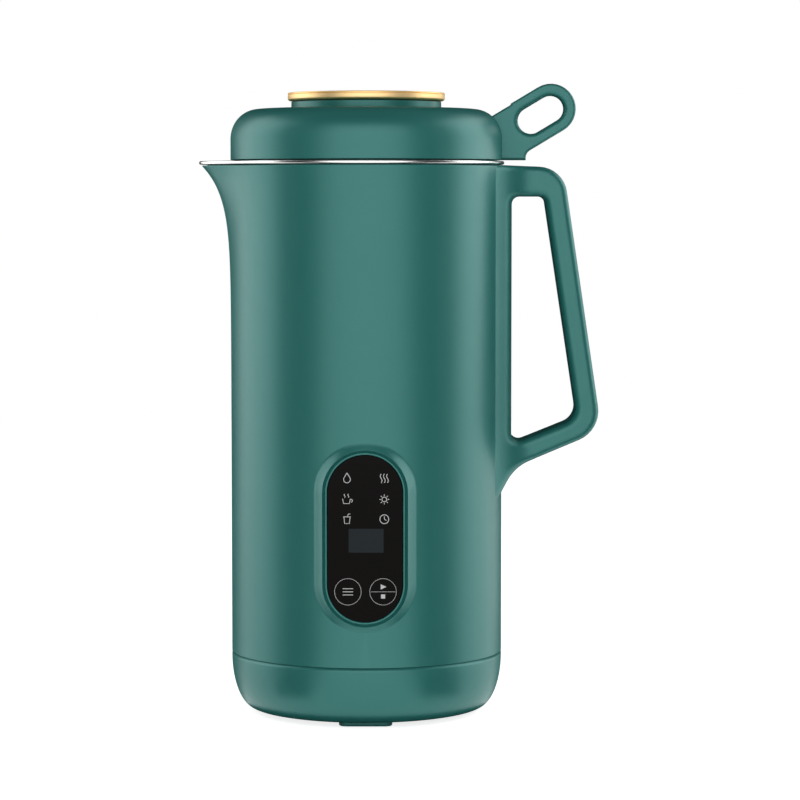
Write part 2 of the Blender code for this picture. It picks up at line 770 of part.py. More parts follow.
def add_inlet_boss(shell):
    width = INLET_FLANGE_WIDTH + INLET_BOSS_MARGIN
    height = INLET_FLANGE_HEIGHT + INLET_BOSS_MARGIN

    def outline_at(offset):
        return rounded_box(width + 2 * offset, height + 2 * offset, INLET_CORNER + offset)

    add_boss(shell, outline_at, INLET_Z, 1)
    face = BODY_RADIUS + BOSS_STAND
    gap = 2 * FIT_GAP
    pocket_depth = INLET_FLANGE + FIT_GAP
    flange = rounded_box(INLET_FLANGE_WIDTH + gap, INLET_FLANGE_HEIGHT + gap, INLET_CORNER)
    cut(shell, moved(upright(plate([flange], 2 * pocket_depth)), (0, face, INLET_Z)))
    body = rounded_box(INLET_BODY_WIDTH + gap, INLET_BODY_HEIGHT + gap, INLET_CORNER)
    cut(shell, moved(upright(plate([body], 2 * INLET_BODY_DEPTH)), (0, face, INLET_Z)))


def add_shell_posts(shell):
    """Posts that take the case screws, each tied to the wall by a rib above the cover's lip."""
    top = SHELL_FOOT + POST_HEIGHT
    rib_low = COVER_TOP + LIP_RISE + FIT_GAP
    for degrees in POST_ANGLES:
        place = on_ring(POST_RING_RADIUS, degrees)
        low = (POST_RING_RADIUS, -RIB_WIDTH / 2, rib_low)
        high = (BODY_RADIUS - BODY_WALL / 2, RIB_WIDTH / 2, top)
        post = join(shell, moved(block(low, high), (0, 0, 0), degrees))
        step = post.modifiers.new("Post", "BOOLEAN")
        step.operation = "UNION"
        step.object = add_tool(
            f"{post.name}_post", moved(rod(POST_RADIUS, SHELL_FOOT, top), place), BODY
        )
        drilled = rod(SCREW_HOLE_RADIUS, SHELL_FOOT - OVERRUN, top - SCREW_HEAD_HEIGHT / 2)
        cut(shell, moved(drilled, place))


def make_base_cover():
    outer = elliptic_corner(
        BODY_RADIUS,
        BASE_Z + BASE_CORNER_HEIGHT,
        BASE_CORNER_WIDTH,
        BASE_CORNER_HEIGHT,
        BASE_CORNER_POINTS,
        upper=False,
    )
    inner = elliptic_corner(
        BODY_INNER_RADIUS,
        BASE_Z + BASE_CORNER_HEIGHT,
        BASE_CORNER_WIDTH,
        BASE_CORNER_HEIGHT - BASE_FLOOR,
        BASE_CORNER_POINTS,
        upper=False,
    )
    lip_radius = BODY_INNER_RADIUS - FIT_GAP
    profile = [
        (lip_radius, COVER_TOP + LIP_RISE),
        (lip_radius, COVER_TOP),
        (BODY_RADIUS, COVER_TOP),
        *outer,
        (0, BASE_Z),
    ]
    lip_inner = lip_radius - LIP_WALL
    inside = [
        (0, BASE_FLOOR_TOP),
        *inner[:0:-1],
        (BODY_INNER_RADIUS, COVER_TOP - LIP_ROOT),
        (lip_inner, COVER_TOP),
        (lip_inner, COVER_TOP + LIP_RISE),
    ]
    mesh = turned_shell(profile, inside)
    cover = add_part("bottom_cover", mesh, GREEN_PLASTIC, BODY)
    for degrees in POST_ANGLES:
        place = on_ring(POST_RING_RADIUS, degrees)
        join(cover, moved(rod(POST_RADIUS + FIT_GAP, BASE_Z + BASE_FLOOR / 2, COVER_TOP), place))
        cut(cover, moved(rod(SCREW_HOLE_RADIUS, BASE_Z, COVER_TOP + OVERRUN), place))
        head_top = BASE_Z + SCREW_HEAD_SINK + SCREW_HEAD_HEIGHT
        cut(cover, moved(rod(SCREW_HEAD_HOLE_RADIUS, BASE_Z - OVERRUN, head_top), place))
    for k in range(VENT_COUNT):
        slot = rounded_box(VENT_LENGTH, VENT_WIDTH, VENT_WIDTH / 2)
        y = (k - (VENT_COUNT - 1) / 2) * VENT_PITCH
        cut(cover, moved(plate([slot], 2 * BASE_FLOOR + OVERRUN), (0, y, BASE_Z)))


def make_feet():
    names = ("foot_front", "foot_rear_right", "foot_rear_left")
    height = BASE_Z - FIT_GAP
    for name, degrees in zip(names, FOOT_ANGLES):
        pad = plate([rounded_box(FOOT_WIDTH, FOOT_LENGTH, FOOT_CORNER)], height, FOOT_EDGE)
        place = on_ring(FOOT_RING_RADIUS, degrees, height / 2)
        add_part(name, moved(pad, place, degrees), GREEN_PLASTIC, BODY)


def screw_mesh(head_radius, head_height, shank_radius, length):
    """A screw that points up, its head's underside at z = 0."""
    return turned(
        [
            (0, length),
            (shank_radius, length),
            (shank_radius, 0),
            (head_radius, 0),
            (head_radius, -head_height),
            (0, -head_height),
        ],
        SMALL_STEPS,
    )


def make_case_screws():
    seat = BASE_Z + SCREW_HEAD_SINK + SCREW_HEAD_HEIGHT
    reach = SHELL_FOOT + POST_HEIGHT - SCREW_HEAD_HEIGHT
    length = reach - seat
    for i, degrees in enumerate(POST_ANGLES):
        mesh = screw_mesh(SCREW_HEAD_RADIUS, SCREW_HEAD_HEIGHT, SCREW_SHANK_RADIUS, length)
        place = on_ring(POST_RING_RADIUS, degrees, seat - FIT_GAP)
        add_part(f"case_screw_{i + 1}", moved(mesh, place), BRIGHT_STEEL, BODY)


def make_handle_screws():
    head_seat = BODY_INNER_RADIUS - FIT_GAP
    for name, drop in zip(("handle_screw_upper", "handle_screw_lower"), HANDLE_SCREW_DROPS):
        length = BODY_WALL + HANDLE_SCREW_LENGTH
        mesh = screw_mesh(SCREW_HEAD_RADIUS, HANDLE_SCREW_HEAD, SCREW_SHANK_RADIUS, length)
        add_part(name, moved(mesh, (head_seat, 0, RIM_TOP - drop), 90, "Y"), BRIGHT_STEEL, BODY)


def make_cup():
    low = CUP_FLOOR_TOP + CUP_CORNER
    straight_z = RIM_TOP - CUP_STRAIGHT
    low_z = CUP_Z + CUP_CORNER
    heights = wall_heights(SHELL_FOOT, SHELL_TOP)

    def wall_radius(z):
        share = min(1, max(0, (z - low) / (straight_z - low)))
        return CUP_LOW_RADIUS + (CUP_RADIUS - CUP_LOW_RADIUS) * share

    hole = SEAT_NECK_RADIUS + FIT_GAP
    outer = [(wall_radius(z) + CUP_WALL, z) for z in heights]
    inner = [(wall_radius(z), z) for z in heights]
    inner_corner = cup_corner(CUP_LOW_RADIUS, low, CUP_CORNER)
    outer_corner = cup_corner(CUP_LOW_RADIUS + CUP_WALL, low_z + CUP_WALL, CUP_CORNER + CUP_WALL)
    profile = [
        (RIM_RADIUS - RIM_EDGE, RIM_TOP),
        (RIM_RADIUS, RIM_Z + RIM_THICKNESS / 2),
        (RIM_RADIUS - RIM_EDGE, RIM_Z),
        (CUP_RADIUS + CUP_WALL, RIM_Z),
        *outer,
        *outer_corner,
        (hole, CUP_Z),
        (hole, CUP_FLOOR_TOP),
        *inner_corner[::-1],
        *inner[::-1],
        (CUP_RADIUS, RIM_TOP - RIM_THICKNESS / 2),
        (CUP_RADIUS + CUP_WALL, RIM_TOP),
    ]
    mesh = turned(profile, BODY_STEPS)
    inner_reach = SPOUT_REACH + SPOUT_LIP_GAIN
    pull_spout(mesh, inner_reach, SPOUT_REACH, CUP_RADIUS + CUP_WALL, BODY_RADIUS)
    add_part("inner_cup", mesh, STEEL, BODY)


def cup_corner(radius, height, corner):
    """The rounded corner between the cup's wall and its floor, from the wall inwards."""
    points = []
    for k in range(CORNER_STEPS):
        angle = math.radians(90) * k / (CORNER_STEPS - 1)
        points.append((radius - corner + corner * math.cos(angle), height - corner * math.sin(angle)))
    return points


def make_heater():
    disc = tube(HEATER_PLATE_RADIUS, HEATER_PLATE_BORE, HEATER_PLATE_Z, HEATER_PLATE_TOP, DISC_STEPS)
    add_part("heater_plate", disc, ALUMINIUM, BODY)
    gap = (360 - HEATER_ARC) / 2
    points = []
    for k in range(HEATER_ARC_POINTS + 1):
        degrees = gap + HEATER_ARC * k / HEATER_ARC_POINTS
        points.append(on_ring(HEATER_RING_RADIUS, degrees, HEATER_TUBE_Z))
    add_part("heating_tube", wire(points, HEATER_TUBE_RADIUS), BRIGHT_STEEL, BODY)
    sensor = rod(SENSOR_RADIUS, HEATER_PLATE_Z - FIT_GAP - SENSOR_LENGTH, HEATER_PLATE_Z - FIT_GAP)
    place = on_ring(SENSOR_RING_RADIUS, SENSOR_ANGLE)
    add_part("temperature_sensor", moved(sensor, place), BRASS, BODY)


def make_blade_seat():
    neck_foot = CUP_Z - SEAT_NECK_LENGTH
    profile = [
        (SEAT_TOP_RADIUS, SEAT_TOP),
        (SEAT_TOP_RADIUS, SEAT_Z + SEAT_FLANGE + SEAT_RISE / 2),
        (SEAT_FLANGE_RADIUS, SEAT_Z + SEAT_FLANGE),
        (SEAT_FLANGE_RADIUS, SEAT_Z),
        (SEAT_NECK_RADIUS, SEAT_Z),
        (SEAT_NECK_RADIUS, neck_foot),
        (SEAT_BORE, neck_foot),
        (SEAT_BORE, SEAT_TOP),
    ]
    add_part("blade_seat", turned(profile, DISC_STEPS), STEEL, BODY)
    nut_top = CUP_Z - FIT_GAP
    hexagon = rod(SEAT_NUT_RADIUS, nut_top - SEAT_NUT_HEIGHT, nut_top, HEX_STEPS)
    nut = add_part("seat_nut", hexagon, BRASS, BODY)
    cut(nut, rod(SEAT_NECK_RADIUS + FIT_GAP, neck_foot, CUP_Z + OVERRUN, DISC_STEPS))
    sleeve_outer = SEAT_BORE - FIT_GAP
    sleeve_inner = SHAFT_RADIUS + RUNNING_GAP
    bush_top = SEAT_TOP - SEAL_LENGTH - FIT_GAP
    bush = tube(sleeve_outer, sleeve_inner, neck_foot, bush_top, DISC_STEPS)
    add_part("shaft_bush", bush, BRASS, BODY)
    seal = tube(sleeve_outer, sleeve_inner, SEAT_TOP - SEAL_LENGTH, SEAT_TOP, DISC_STEPS)
    add_part("shaft_seal", seal, SILICONE, BODY)


def make_chassis():
    """The plate that carries the motor, with a skirt that seats it in the shell."""
    rim = BODY_INNER_RADIUS - FIT_GAP
    inner = rim - CHASSIS_SKIRT_WALL
    profile = [
        (rim, CHASSIS_TOP),
        (rim, CHASSIS_TOP - CHASSIS_SKIRT),
        (inner, CHASSIS_TOP - CHASSIS_SKIRT),
        (inner, CHASSIS_Z),
        (CHASSIS_BORE, CHASSIS_Z),
        (CHASSIS_BORE, CHASSIS_TOP),
    ]
    chassis = add_part("motor_chassis", turned(profile), BLACK_PLASTIC, BODY)
    board = touch_board_box()
    low = (board[0][0] - FIT_GAP, -BODY_RADIUS, CHASSIS_TOP - CHASSIS_SKIRT - OVERRUN)
    high = (board[1][0] + FIT_GAP, board[1][1] + FIT_GAP, CHASSIS_TOP + OVERRUN)
    cut(chassis, block(low, high))


def bracket_mesh(name, hub_low, hub_high, bar_low, leg_low, leg_high, seat_low):
    """A bar across the motor with a bearing hub in its middle and a leg near each end."""
    half_length = STACK_RADIUS
    half_width = BAR_WIDTH / 2
    bar_high = bar_low + BAR_THICKNESS
    mesh = block((-half_length, -half_width, bar_low), (half_length, half_width, bar_high))
    bracket = add_part(name, mesh, BLACK_PLASTIC, BODY)
    join(bracket, rod(HUB_RADIUS, hub_low, hub_high, DISC_STEPS))
    for side in (-1, 1):
        outer = side * (half_length - FIT_GAP)
        inner = side * (half_length - LEG_THICKNESS)
        low = (min(outer, inner), -half_width + FIT_GAP, leg_low)
        high = (max(outer, inner), half_width - FIT_GAP, leg_high)
        join(bracket, block(low, high))
    bore = SHAFT_RADIUS + 2 * FIT_GAP
    cut(bracket, rod(bore, hub_low - OVERRUN, hub_high + OVERRUN))
    seat = rod(BEARING_RADIUS + FIT_GAP, seat_low, seat_low + BEARING_LENGTH + 2 * FIT_GAP, DISC_STEPS)
    cut(bracket, seat)
    return bracket


def make_brackets():
    lower = bracket_mesh(
        "lower_bracket",
        LOWER_HUB_Z,
        LOWER_BAR_TOP,
        LOWER_BAR_TOP - BAR_THICKNESS,
        LOWER_BAR_TOP - BAR_THICKNESS / 2,
        STACK_Z - FIT_GAP,
        LOWER_HUB_Z - FIT_GAP,
    )
    guide_low = LOWER_BAR_TOP - BAR_THICKNESS / 2
    brush_z = brush_height()
    half_height = BRUSH_HEIGHT / 2 + FIT_GAP
    half_width = BRUSH_WIDTH / 2 + FIT_GAP
    inner_x = COMMUTATOR_RADIUS + 2 * FIT_GAP
    outer_x = inner_x + BRUSH_LENGTH
    for side in (-1, 1):
        ends = sorted((side * inner_x, side * outer_x))
        half = half_width + BRUSH_GUIDE_WALL
        guide_top = brush_z + half_height + BRUSH_GUIDE_WALL
        join(lower, block((ends[0], -half, guide_low), (ends[1], half, guide_top)))
    channel_low = (-outer_x - OVERRUN, -half_width, brush_z - half_height)
    channel_high = (outer_x + OVERRUN, half_width, brush_z + half_height)
    cut(lower, block(channel_low, channel_high))
    bracket_mesh(
        "upper_bracket",
        UPPER_BAR_TOP - UPPER_HUB_HEIGHT,
        UPPER_BAR_TOP,
        UPPER_BAR_Z,
        STACK_TOP + FIT_GAP,
        UPPER_BAR_Z + BAR_THICKNESS / 2,
        UPPER_BAR_TOP - BEARING_LENGTH - FIT_GAP,
    )


def brush_height():
    return COMMUTATOR_Z + COMMUTATOR_LENGTH / 2


def make_brushes():
    brush_z = brush_height()
    for name, side in (("carbon_brush_left", -1), ("carbon_brush_right", 1)):
        near = COMMUTATOR_RADIUS + FIT_GAP
        ends = sorted((side * near, side * (near + BRUSH_LENGTH)))
        low = (ends[0], -BRUSH_WIDTH / 2, brush_z - BRUSH_HEIGHT / 2)
        high = (ends[1], BRUSH_WIDTH / 2, brush_z + BRUSH_HEIGHT / 2)
        add_part(name, block(low, high), CARBON, BODY)


def make_bearings():
    outer = BEARING_RADIUS
    inner = SHAFT_RADIUS + RUNNING_GAP
    lower = LOWER_HUB_Z
    upper = UPPER_BAR_TOP - BEARING_LENGTH
    for name, low in (("lower_bearing", lower), ("upper_bearing", upper)):
        high = low + BEARING_LENGTH
        add_part(name, tube(outer, inner, low, high, DISC_STEPS), BRIGHT_STEEL, BODY)


def make_stator():
    stack = tube(STACK_RADIUS, STATOR_BORE, STACK_Z, STACK_TOP, DISC_STEPS)
    stator = add_part("stator_core", stack, LAMINATION, BODY)
    half = COIL_WIRE / 2 + FIT_GAP
    low_z = STACK_Z - OVERRUN
    high_z = STACK_TOP + OVERRUN
    for sx in (-1, 1):
        for sy in (-1, 1):
            middle = Vector((sx * COIL_OFFSET, sy * COIL_OFFSET, 0))
            low = (middle.x - half, middle.y - half, low_z)
            high = (middle.x + half, middle.y + half, high_z)
            cut(stator, block(low, high))


def make_field_coils():
    """Two rings of wire, each round one pole of the stator."""
    width = 2 * COIL_OFFSET + COIL_WIRE
    height = STACK_LENGTH + 2 * (COIL_OVERHANG - FIT_GAP)
    outer = rounded_box(width, height, COIL_CORNER)
    inner = rounded_box(width - 2 * COIL_WIRE, height - 2 * COIL_WIRE, COIL_INNER_CORNER)
    middle = (STACK_Z + STACK_TOP) / 2
    for name, side in (("field_coil_front", -1), ("field_coil_rear", 1)):
        coil = upright(plate([outer, inner], COIL_WIRE))
        add_part(name, moved(coil, (0, side * COIL_OFFSET, middle)), COPPER, BODY)


def make_armature():
    core_inner = SHAFT_RADIUS + FIT_GAP
    core = tube(ARMATURE_RADIUS, core_inner, STACK_Z, STACK_TOP, DISC_STEPS)
    armature = add_part("armature_core", core, LAMINATION, ROTOR)
    slot_inner = ARMATURE_RADIUS - ARMATURE_SLOT_DEPTH
    low_z = STACK_Z - OVERRUN
    high_z = STACK_TOP + OVERRUN
    half = ARMATURE_SLOT_WIDTH / 2
    end_top = STACK_TOP + WINDING_OVERHANG
    low_end = tube(WINDING_RADIUS, WINDING_CORE_RADIUS, STACK_Z - WINDING_OVERHANG, STACK_Z - FIT_GAP)
    high_end = tube(WINDING_RADIUS, WINDING_CORE_RADIUS, STACK_TOP + FIT_GAP, end_top)
    winding = add_part("armature_winding", low_end, COPPER, ROTOR)
    join(winding, high_end)
    bar_half = half - FIT_GAP
    bar_inner = slot_inner + FIT_GAP
    bar_outer = WINDING_RADIUS - FIT_GAP / 2
    for k in range(ARMATURE_SLOTS):
        degrees = 360 * k / ARMATURE_SLOTS
        low = (slot_inner, -half, low_z)
        high = (ARMATURE_RADIUS + OVERRUN, half, high_z)
        cut(armature, moved(block(low, high), (0, 0, 0), degrees))
        bar_low = (bar_inner, -bar_half, STACK_Z - WINDING_OVERHANG / 2)
        bar_high = (bar_outer, bar_half, STACK_TOP + WINDING_OVERHANG / 2)
        join(winding, moved(block(bar_low, bar_high), (0, 0, 0), degrees))


def make_commutator():
    inner = SHAFT_RADIUS + FIT_GAP
    mesh = tube(COMMUTATOR_RADIUS, inner, COMMUTATOR_Z, COMMUTATOR_TOP, COMMUTATOR_BARS * 2)
    commutator = add_part("commutator", mesh, COPPER, ROTOR)
    half = COMMUTATOR_SLOT / 2
    for k in range(COMMUTATOR_BARS):
        low = (COMMUTATOR_RADIUS - COMMUTATOR_SLOT_DEPTH, -half, COMMUTATOR_Z - OVERRUN)
        high = (COMMUTATOR_RADIUS + OVERRUN, half, COMMUTATOR_TOP + OVERRUN)
        cut(commutator, moved(block(low, high), (0, 0, 0), 360 * (k + 0.5) / COMMUTATOR_BARS))


def make_fan():
    inner = SHAFT_RADIUS + FIT_GAP
    top = SHAFT_FOOT + FAN_HEIGHT
    profile = [
        (FAN_HUB_RADIUS, top),
        (FAN_HUB_RADIUS, SHAFT_FOOT + FAN_DISC),
        (FAN_RADIUS, SHAFT_FOOT + FAN_DISC),
        (FAN_RADIUS, SHAFT_FOOT),
        (inner, SHAFT_FOOT),
        (inner, top),
    ]
    fan = add_part("cooling_fan", turned(profile, DISC_STEPS), BLACK_PLASTIC, ROTOR)
    blade_low = SHAFT_FOOT + FAN_DISC / 2
    blade_high = top - FIT_GAP
    length = FAN_RADIUS - FAN_HUB_RADIUS
    for k in range(FAN_BLADE_COUNT):
        low = (-length / 2, -FAN_BLADE / 2, blade_low)
        high = (length / 2 - FAN_BLADE, FAN_BLADE / 2, blade_high)
        vane = moved(block(low, high), (FAN_HUB_RADIUS + length / 2, 0, 0), FAN_BLADE_LEAN)
        join(fan, moved(vane, (0, 0, 0), 360 * k / FAN_BLADE_COUNT))


def make_shaft():
    add_part("motor_shaft", rod(SHAFT_RADIUS, SHAFT_FOOT, SHAFT_TOP, DISC_STEPS), BRIGHT_STEEL, ROTOR)


def blade_bar(low, rise):
    """A bar across the shaft: flat in its middle, with both tips bent up or down by the rise in degrees."""
    bend_x = BLADE_SPAN * BLADE_BEND_SHARE
    run = BLADE_SPAN - bend_x
    tip_x = bend_x + run * math.cos(math.radians(rise))
    tip_z = low + run * math.sin(math.radians(rise))
    half = BLADE_WIDTH / 2
    tip_half = half * BLADE_TIP_SHARE
    arm = [(bend_x, low, half), (tip_x, tip_z, tip_half)]
    stations = [(-x, z, half_width) for x, z, half_width in arm[::-1]] + arm
    rings = []
    for x, z, half_width in stations:
        high = z + BLADE_THICKNESS
        rings.append([(x, -half_width, z), (x, half_width, z), (x, half_width, high), (x, -half_width, high)])
    return loft(rings)


def make_blades():
    bore = SHAFT_RADIUS + FIT_GAP
    bars = (
        ("blade_lower", BLADE_Z, BLADE_LOWER_RISE, 0),
        ("blade_upper", BLADE_Z + BLADE_THICKNESS + FIT_GAP, BLADE_UPPER_RISE, 90),
    )
    for name, low, rise, turn in bars:
        blade = add_part(name, moved(blade_bar(low, rise), (0, 0, 0), turn), STEEL, ROTOR)
        cut(blade, rod(bore, low - OVERRUN, low + BLADE_THICKNESS + OVERRUN))
    top = BLADE_NUT_Z + BLADE_NUT_HEIGHT
    nut = add_part("blade_nut", rod(BLADE_NUT_RADIUS, BLADE_NUT_Z, top, HEX_STEPS), BRIGHT_STEEL, ROTOR)
    cut(nut, rod(bore, BLADE_NUT_Z - OVERRUN, SHAFT_TOP + FIT_GAP))


def touch_board_box():
    """Corners of the board behind the lens; its front corners rest on the inside of the wall."""
    face = BODY_RADIUS + BOSS_STAND
    lens_back = face - LENS_SINK - LENS_THICKNESS
    front = lens_back - TOUCH_BOARD_BEHIND_LENS
    half_width = math.sqrt((BODY_INNER_RADIUS - FIT_GAP) ** 2 - front**2)
    half_height = TOUCH_BOARD_HEIGHT / 2
    low = (-half_width, -front, PANEL_Z - half_height)
    high = (half_width, -front + BOARD_THICKNESS, PANEL_Z + half_height)
    return low, high


def make_panel():
    face = BODY_RADIUS + BOSS_STAND
    lens = upright(plate([stadium(LENS_WIDTH, LENS_HEIGHT)], LENS_THICKNESS, LENS_EDGE))
    middle = face - LENS_SINK - LENS_THICKNESS / 2
    add_part("panel_lens", moved(lens, (0, -middle, PANEL_Z)), BLACK_GLOSS, BODY)
    low, high = touch_board_box()
    add_part("touch_board", block(low, high), BOARD_GREEN, BODY)
    front = low[1] - FIT_GAP
    back_of_lens = -(face - LENS_SINK - LENS_THICKNESS) + FIT_GAP
    display_z = PANEL_Z - DISPLAY_DROP
    display_low = (-DISPLAY_WIDTH / 2, back_of_lens, display_z - DISPLAY_HEIGHT / 2)
    display_high = (DISPLAY_WIDTH / 2, front, display_z + DISPLAY_HEIGHT / 2)
    add_part("display_module", block(display_low, display_high), DISPLAY_GREY, BODY)
    make_touch_springs(back_of_lens, front)


def make_touch_springs(front, back):
    """The two touch keys' contact springs, between the board and the lens."""
    start = front + SPRING_WIRE
    length = back - SPRING_WIRE - start
    count = SPRING_TURNS * SPRING_POINTS_PER_TURN
    for name, side in (("menu_key_spring", -1), ("start_key_spring", 1)):
        points = []
        for k in range(count + 1):
            angle = 2 * math.pi * k / SPRING_POINTS_PER_TURN
            x = side * KEY_SPACING / 2 + SPRING_RADIUS * math.cos(angle)
            z = PANEL_Z - KEY_DROP + SPRING_RADIUS * math.sin(angle)
            points.append((x, start + length * k / count, z))
        add_part(name, wire(points, SPRING_WIRE, 0), BRIGHT_STEEL, BODY)


def make_power_board():
    top = CHASSIS_Z - FIT_GAP
    face = POWER_BOARD_X + BOARD_THICKNESS / 2
    half = POWER_BOARD_WIDTH / 2
    low = (POWER_BOARD_X - BOARD_THICKNESS / 2, -half, top - POWER_BOARD_HEIGHT)
    add_part("power_board", block(low, (face, half, top)), BOARD_GREEN, BODY)
    start = face + FIT_GAP
    depth, width, height = RELAY_SIZE
    relay_z = top - RELAY_DROP
    relay_low = (start, RELAY_Y - width / 2, relay_z - height / 2)
    relay_high = (start + depth, RELAY_Y + width / 2, relay_z + height / 2)
    add_part("heater_relay", block(relay_low, relay_high), WHITE_PLASTIC, BODY)
    can = rod(CAPACITOR_RADIUS, 0, CAPACITOR_LENGTH)
    place = (start, CAPACITOR_Y, top - CAPACITOR_DROP)
    add_part("filter_capacitor", moved(can, place, 90, "Y"), ALUMINIUM, BODY)


def make_inlet():
    face = BODY_RADIUS + BOSS_STAND
    flange = rounded_box(INLET_FLANGE_WIDTH, INLET_FLANGE_HEIGHT, INLET_CORNER)
    mesh = moved(upright(plate([flange], INLET_FLANGE)), (0, face - INLET_FLANGE / 2, INLET_Z))
    inlet = add_part("power_inlet", mesh, BLACK_PLASTIC, BODY)
    front = face - INLET_FLANGE / 2
    back = face - INLET_FLANGE - INLET_BODY_DEPTH
    body = rounded_box(INLET_BODY_WIDTH, INLET_BODY_HEIGHT, INLET_CORNER)
    middle = (0, (front + back) / 2, INLET_Z)
    join(inlet, moved(upright(plate([body], front - back)), middle))
    socket = rounded_box(INLET_SOCKET_WIDTH, INLET_SOCKET_HEIGHT, INLET_CORNER)
    cut(inlet, moved(upright(plate([socket], 2 * INLET_SOCKET_DEPTH)), (0, face, INLET_Z)))
    floor = face - INLET_SOCKET_DEPTH
    pins = (
        ("inlet_pin_line", -INLET_PIN_SPACING, 0),
        ("inlet_pin_neutral", INLET_PIN_SPACING, 0),
        ("inlet_pin_earth", 0, INLET_EARTH_RISE),
    )
    for name, x, rise in pins:
        low = (x - INLET_PIN_WIDTH / 2, floor + FIT_GAP, INLET_Z + rise - INLET_PIN_HEIGHT / 2)
        high = (x + INLET_PIN_WIDTH / 2, floor + INLET_PIN_LENGTH, INLET_Z + rise + INLET_PIN_HEIGHT / 2)
        add_part(name, block(low, high), BRASS, BODY)


def handle_outline(root_x):
    top = RIM_TOP - HANDLE_TOP_DROP
    return filleted(
        [
            (root_x, top, 0),
            (HANDLE_TOP_X, top, HANDLE_TOP_CORNER),
            (HANDLE_LOW_X, RIM_TOP - HANDLE_LOW_DROP, HANDLE_LOW_CORNER),
            (HANDLE_HEEL_X, RIM_TOP - HANDLE_HEEL_DROP, HANDLE_HEEL_CURVE),
            (root_x, RIM_TOP - HANDLE_FOOT_DROP, 0),
        ]
    )


def grip_outline():
    top = RIM_TOP - GRIP_TOP_DROP
    return filleted(
        [
            (GRIP_LEFT_X, top, GRIP_TOP_LEFT_CORNER),
            (GRIP_TOP_X, top, GRIP_TOP_CORNER),
            (GRIP_LOW_X, RIM_TOP - GRIP_LOW_DROP, GRIP_LOW_CORNER),
            (GRIP_LEFT_X, RIM_TOP - GRIP_HEEL_DROP, GRIP_HEEL_CORNER),
        ]
    )


def flare_outline():
    """Plan of the handle's root, which widens in a hollow curve until it meets the jug."""
    half = HANDLE_DEPTH / 2
    side = []
    for k in range(CORNER_STEPS + 1):
        angle = math.radians(FLARE_SWEEP) * k / CORNER_STEPS
        x = FLARE_END_X - FLARE_LENGTH * math.sin(angle)
        side.append((x, half + FLARE_HEIGHT * (1 - math.cos(angle))))
    side.append((BODY_INNER_RADIUS - FLARE_LENGTH, side[-1][1]))
    return side + [(x, -y) for x, y in side[::-1]]


def make_handle():
    outlines = [handle_outline(HANDLE_ROOT_X), grip_outline()[::-1]]
    mesh = upright(plate(outlines, HANDLE_DEPTH, HANDLE_EDGE))
    handle = add_part("handle", mesh, GREEN_PLASTIC, BODY)
    foot = RIM_TOP - HANDLE_FOOT_DROP
    top = RIM_TOP - FLARE_TOP_DROP
    flare = plate([flare_outline()], top - foot)
    root = join(handle, moved(flare, (0, 0, (top + foot) / 2)))
    for mesh, operation in (
        (upright(plate([handle_outline(HANDLE_ROOT_X - OVERRUN)], 2 * BODY_RADIUS)), "INTERSECT"),
        (upright(plate([grip_outline()], 2 * BODY_RADIUS)), "DIFFERENCE"),
    ):
        step = root.modifiers.new(operation.title(), "BOOLEAN")
        step.operation = operation
        step.object = add_tool(f"{root.name}_{operation.lower()}", mesh, BODY)
    jug = rod(BODY_RADIUS + FIT_GAP, foot - OVERRUN, RIM_TOP, BODY_STEPS * 2)
    cut(handle, jug)
    start = BODY_RADIUS - OVERRUN
    for drop in HANDLE_SCREW_DROPS:
        end = BODY_RADIUS + HANDLE_SCREW_LENGTH + FIT_GAP
        hole = rod(SCREW_HOLE_RADIUS, start, end)
        cut(handle, moved(hole, (0, 0, RIM_TOP - drop), 90, "Y"))
    half = REED_RADIUS + FIT_GAP
    reed_z = RIM_TOP - REED_DROP
    reed_start = BODY_RADIUS + 2 * FIT_GAP
    low = (start, -half, reed_z - half)
    high = (reed_start + REED_LENGTH + FIT_GAP, half, reed_z + half)
    cut(handle, block(low, high))
    reed = rod(REED_RADIUS, 0, REED_LENGTH)
    add_part("reed_switch", moved(reed, (reed_start, 0, reed_z), 90, "Y"), GLASS_GREY, BODY)


def lid_profile(gap=0):
    """The lid's outer profile, from its top centre down to its lower edge; a gap makes it larger."""
    straight_top = LID_TOP - LID_CORNER_HEIGHT
    corner = elliptic_corner(
        BODY_RADIUS, straight_top, LID_CORNER_WIDTH, LID_CORNER_HEIGHT, LID_CORNER_POINTS, upper=True
    )
    return [(0, LID_TOP + gap), *[(r + gap, z + gap) for r, z in corner], (BODY_RADIUS + gap, LID_Z)]


def make_lid_shell():
    inner_radius = BODY_RADIUS - LID_WALL
    inner_top = LID_TOP - LID_WALL
    corner = elliptic_corner(
        inner_radius,
        LID_TOP - LID_CORNER_HEIGHT,
        LID_CORNER_WIDTH,
        LID_CORNER_HEIGHT - LID_WALL,
        LID_CORNER_POINTS,
        upper=True,
    )
    bolt_hole = LID_BOLT_RADIUS + FIT_GAP
    boss_foot = LINER_TOP + FIT_GAP
    outer = lid_profile()
    outer[0] = (bolt_hole, LID_TOP)
    profile = [
        *outer,
        (inner_radius, LID_Z),
        *corner[::-1],
        (LID_BOSS_RADIUS, inner_top),
        (LID_BOSS_RADIUS, boss_foot),
        (bolt_hole, boss_foot),
    ]
    add_part("lid_shell", turned(profile), GREEN_PLASTIC, LID)


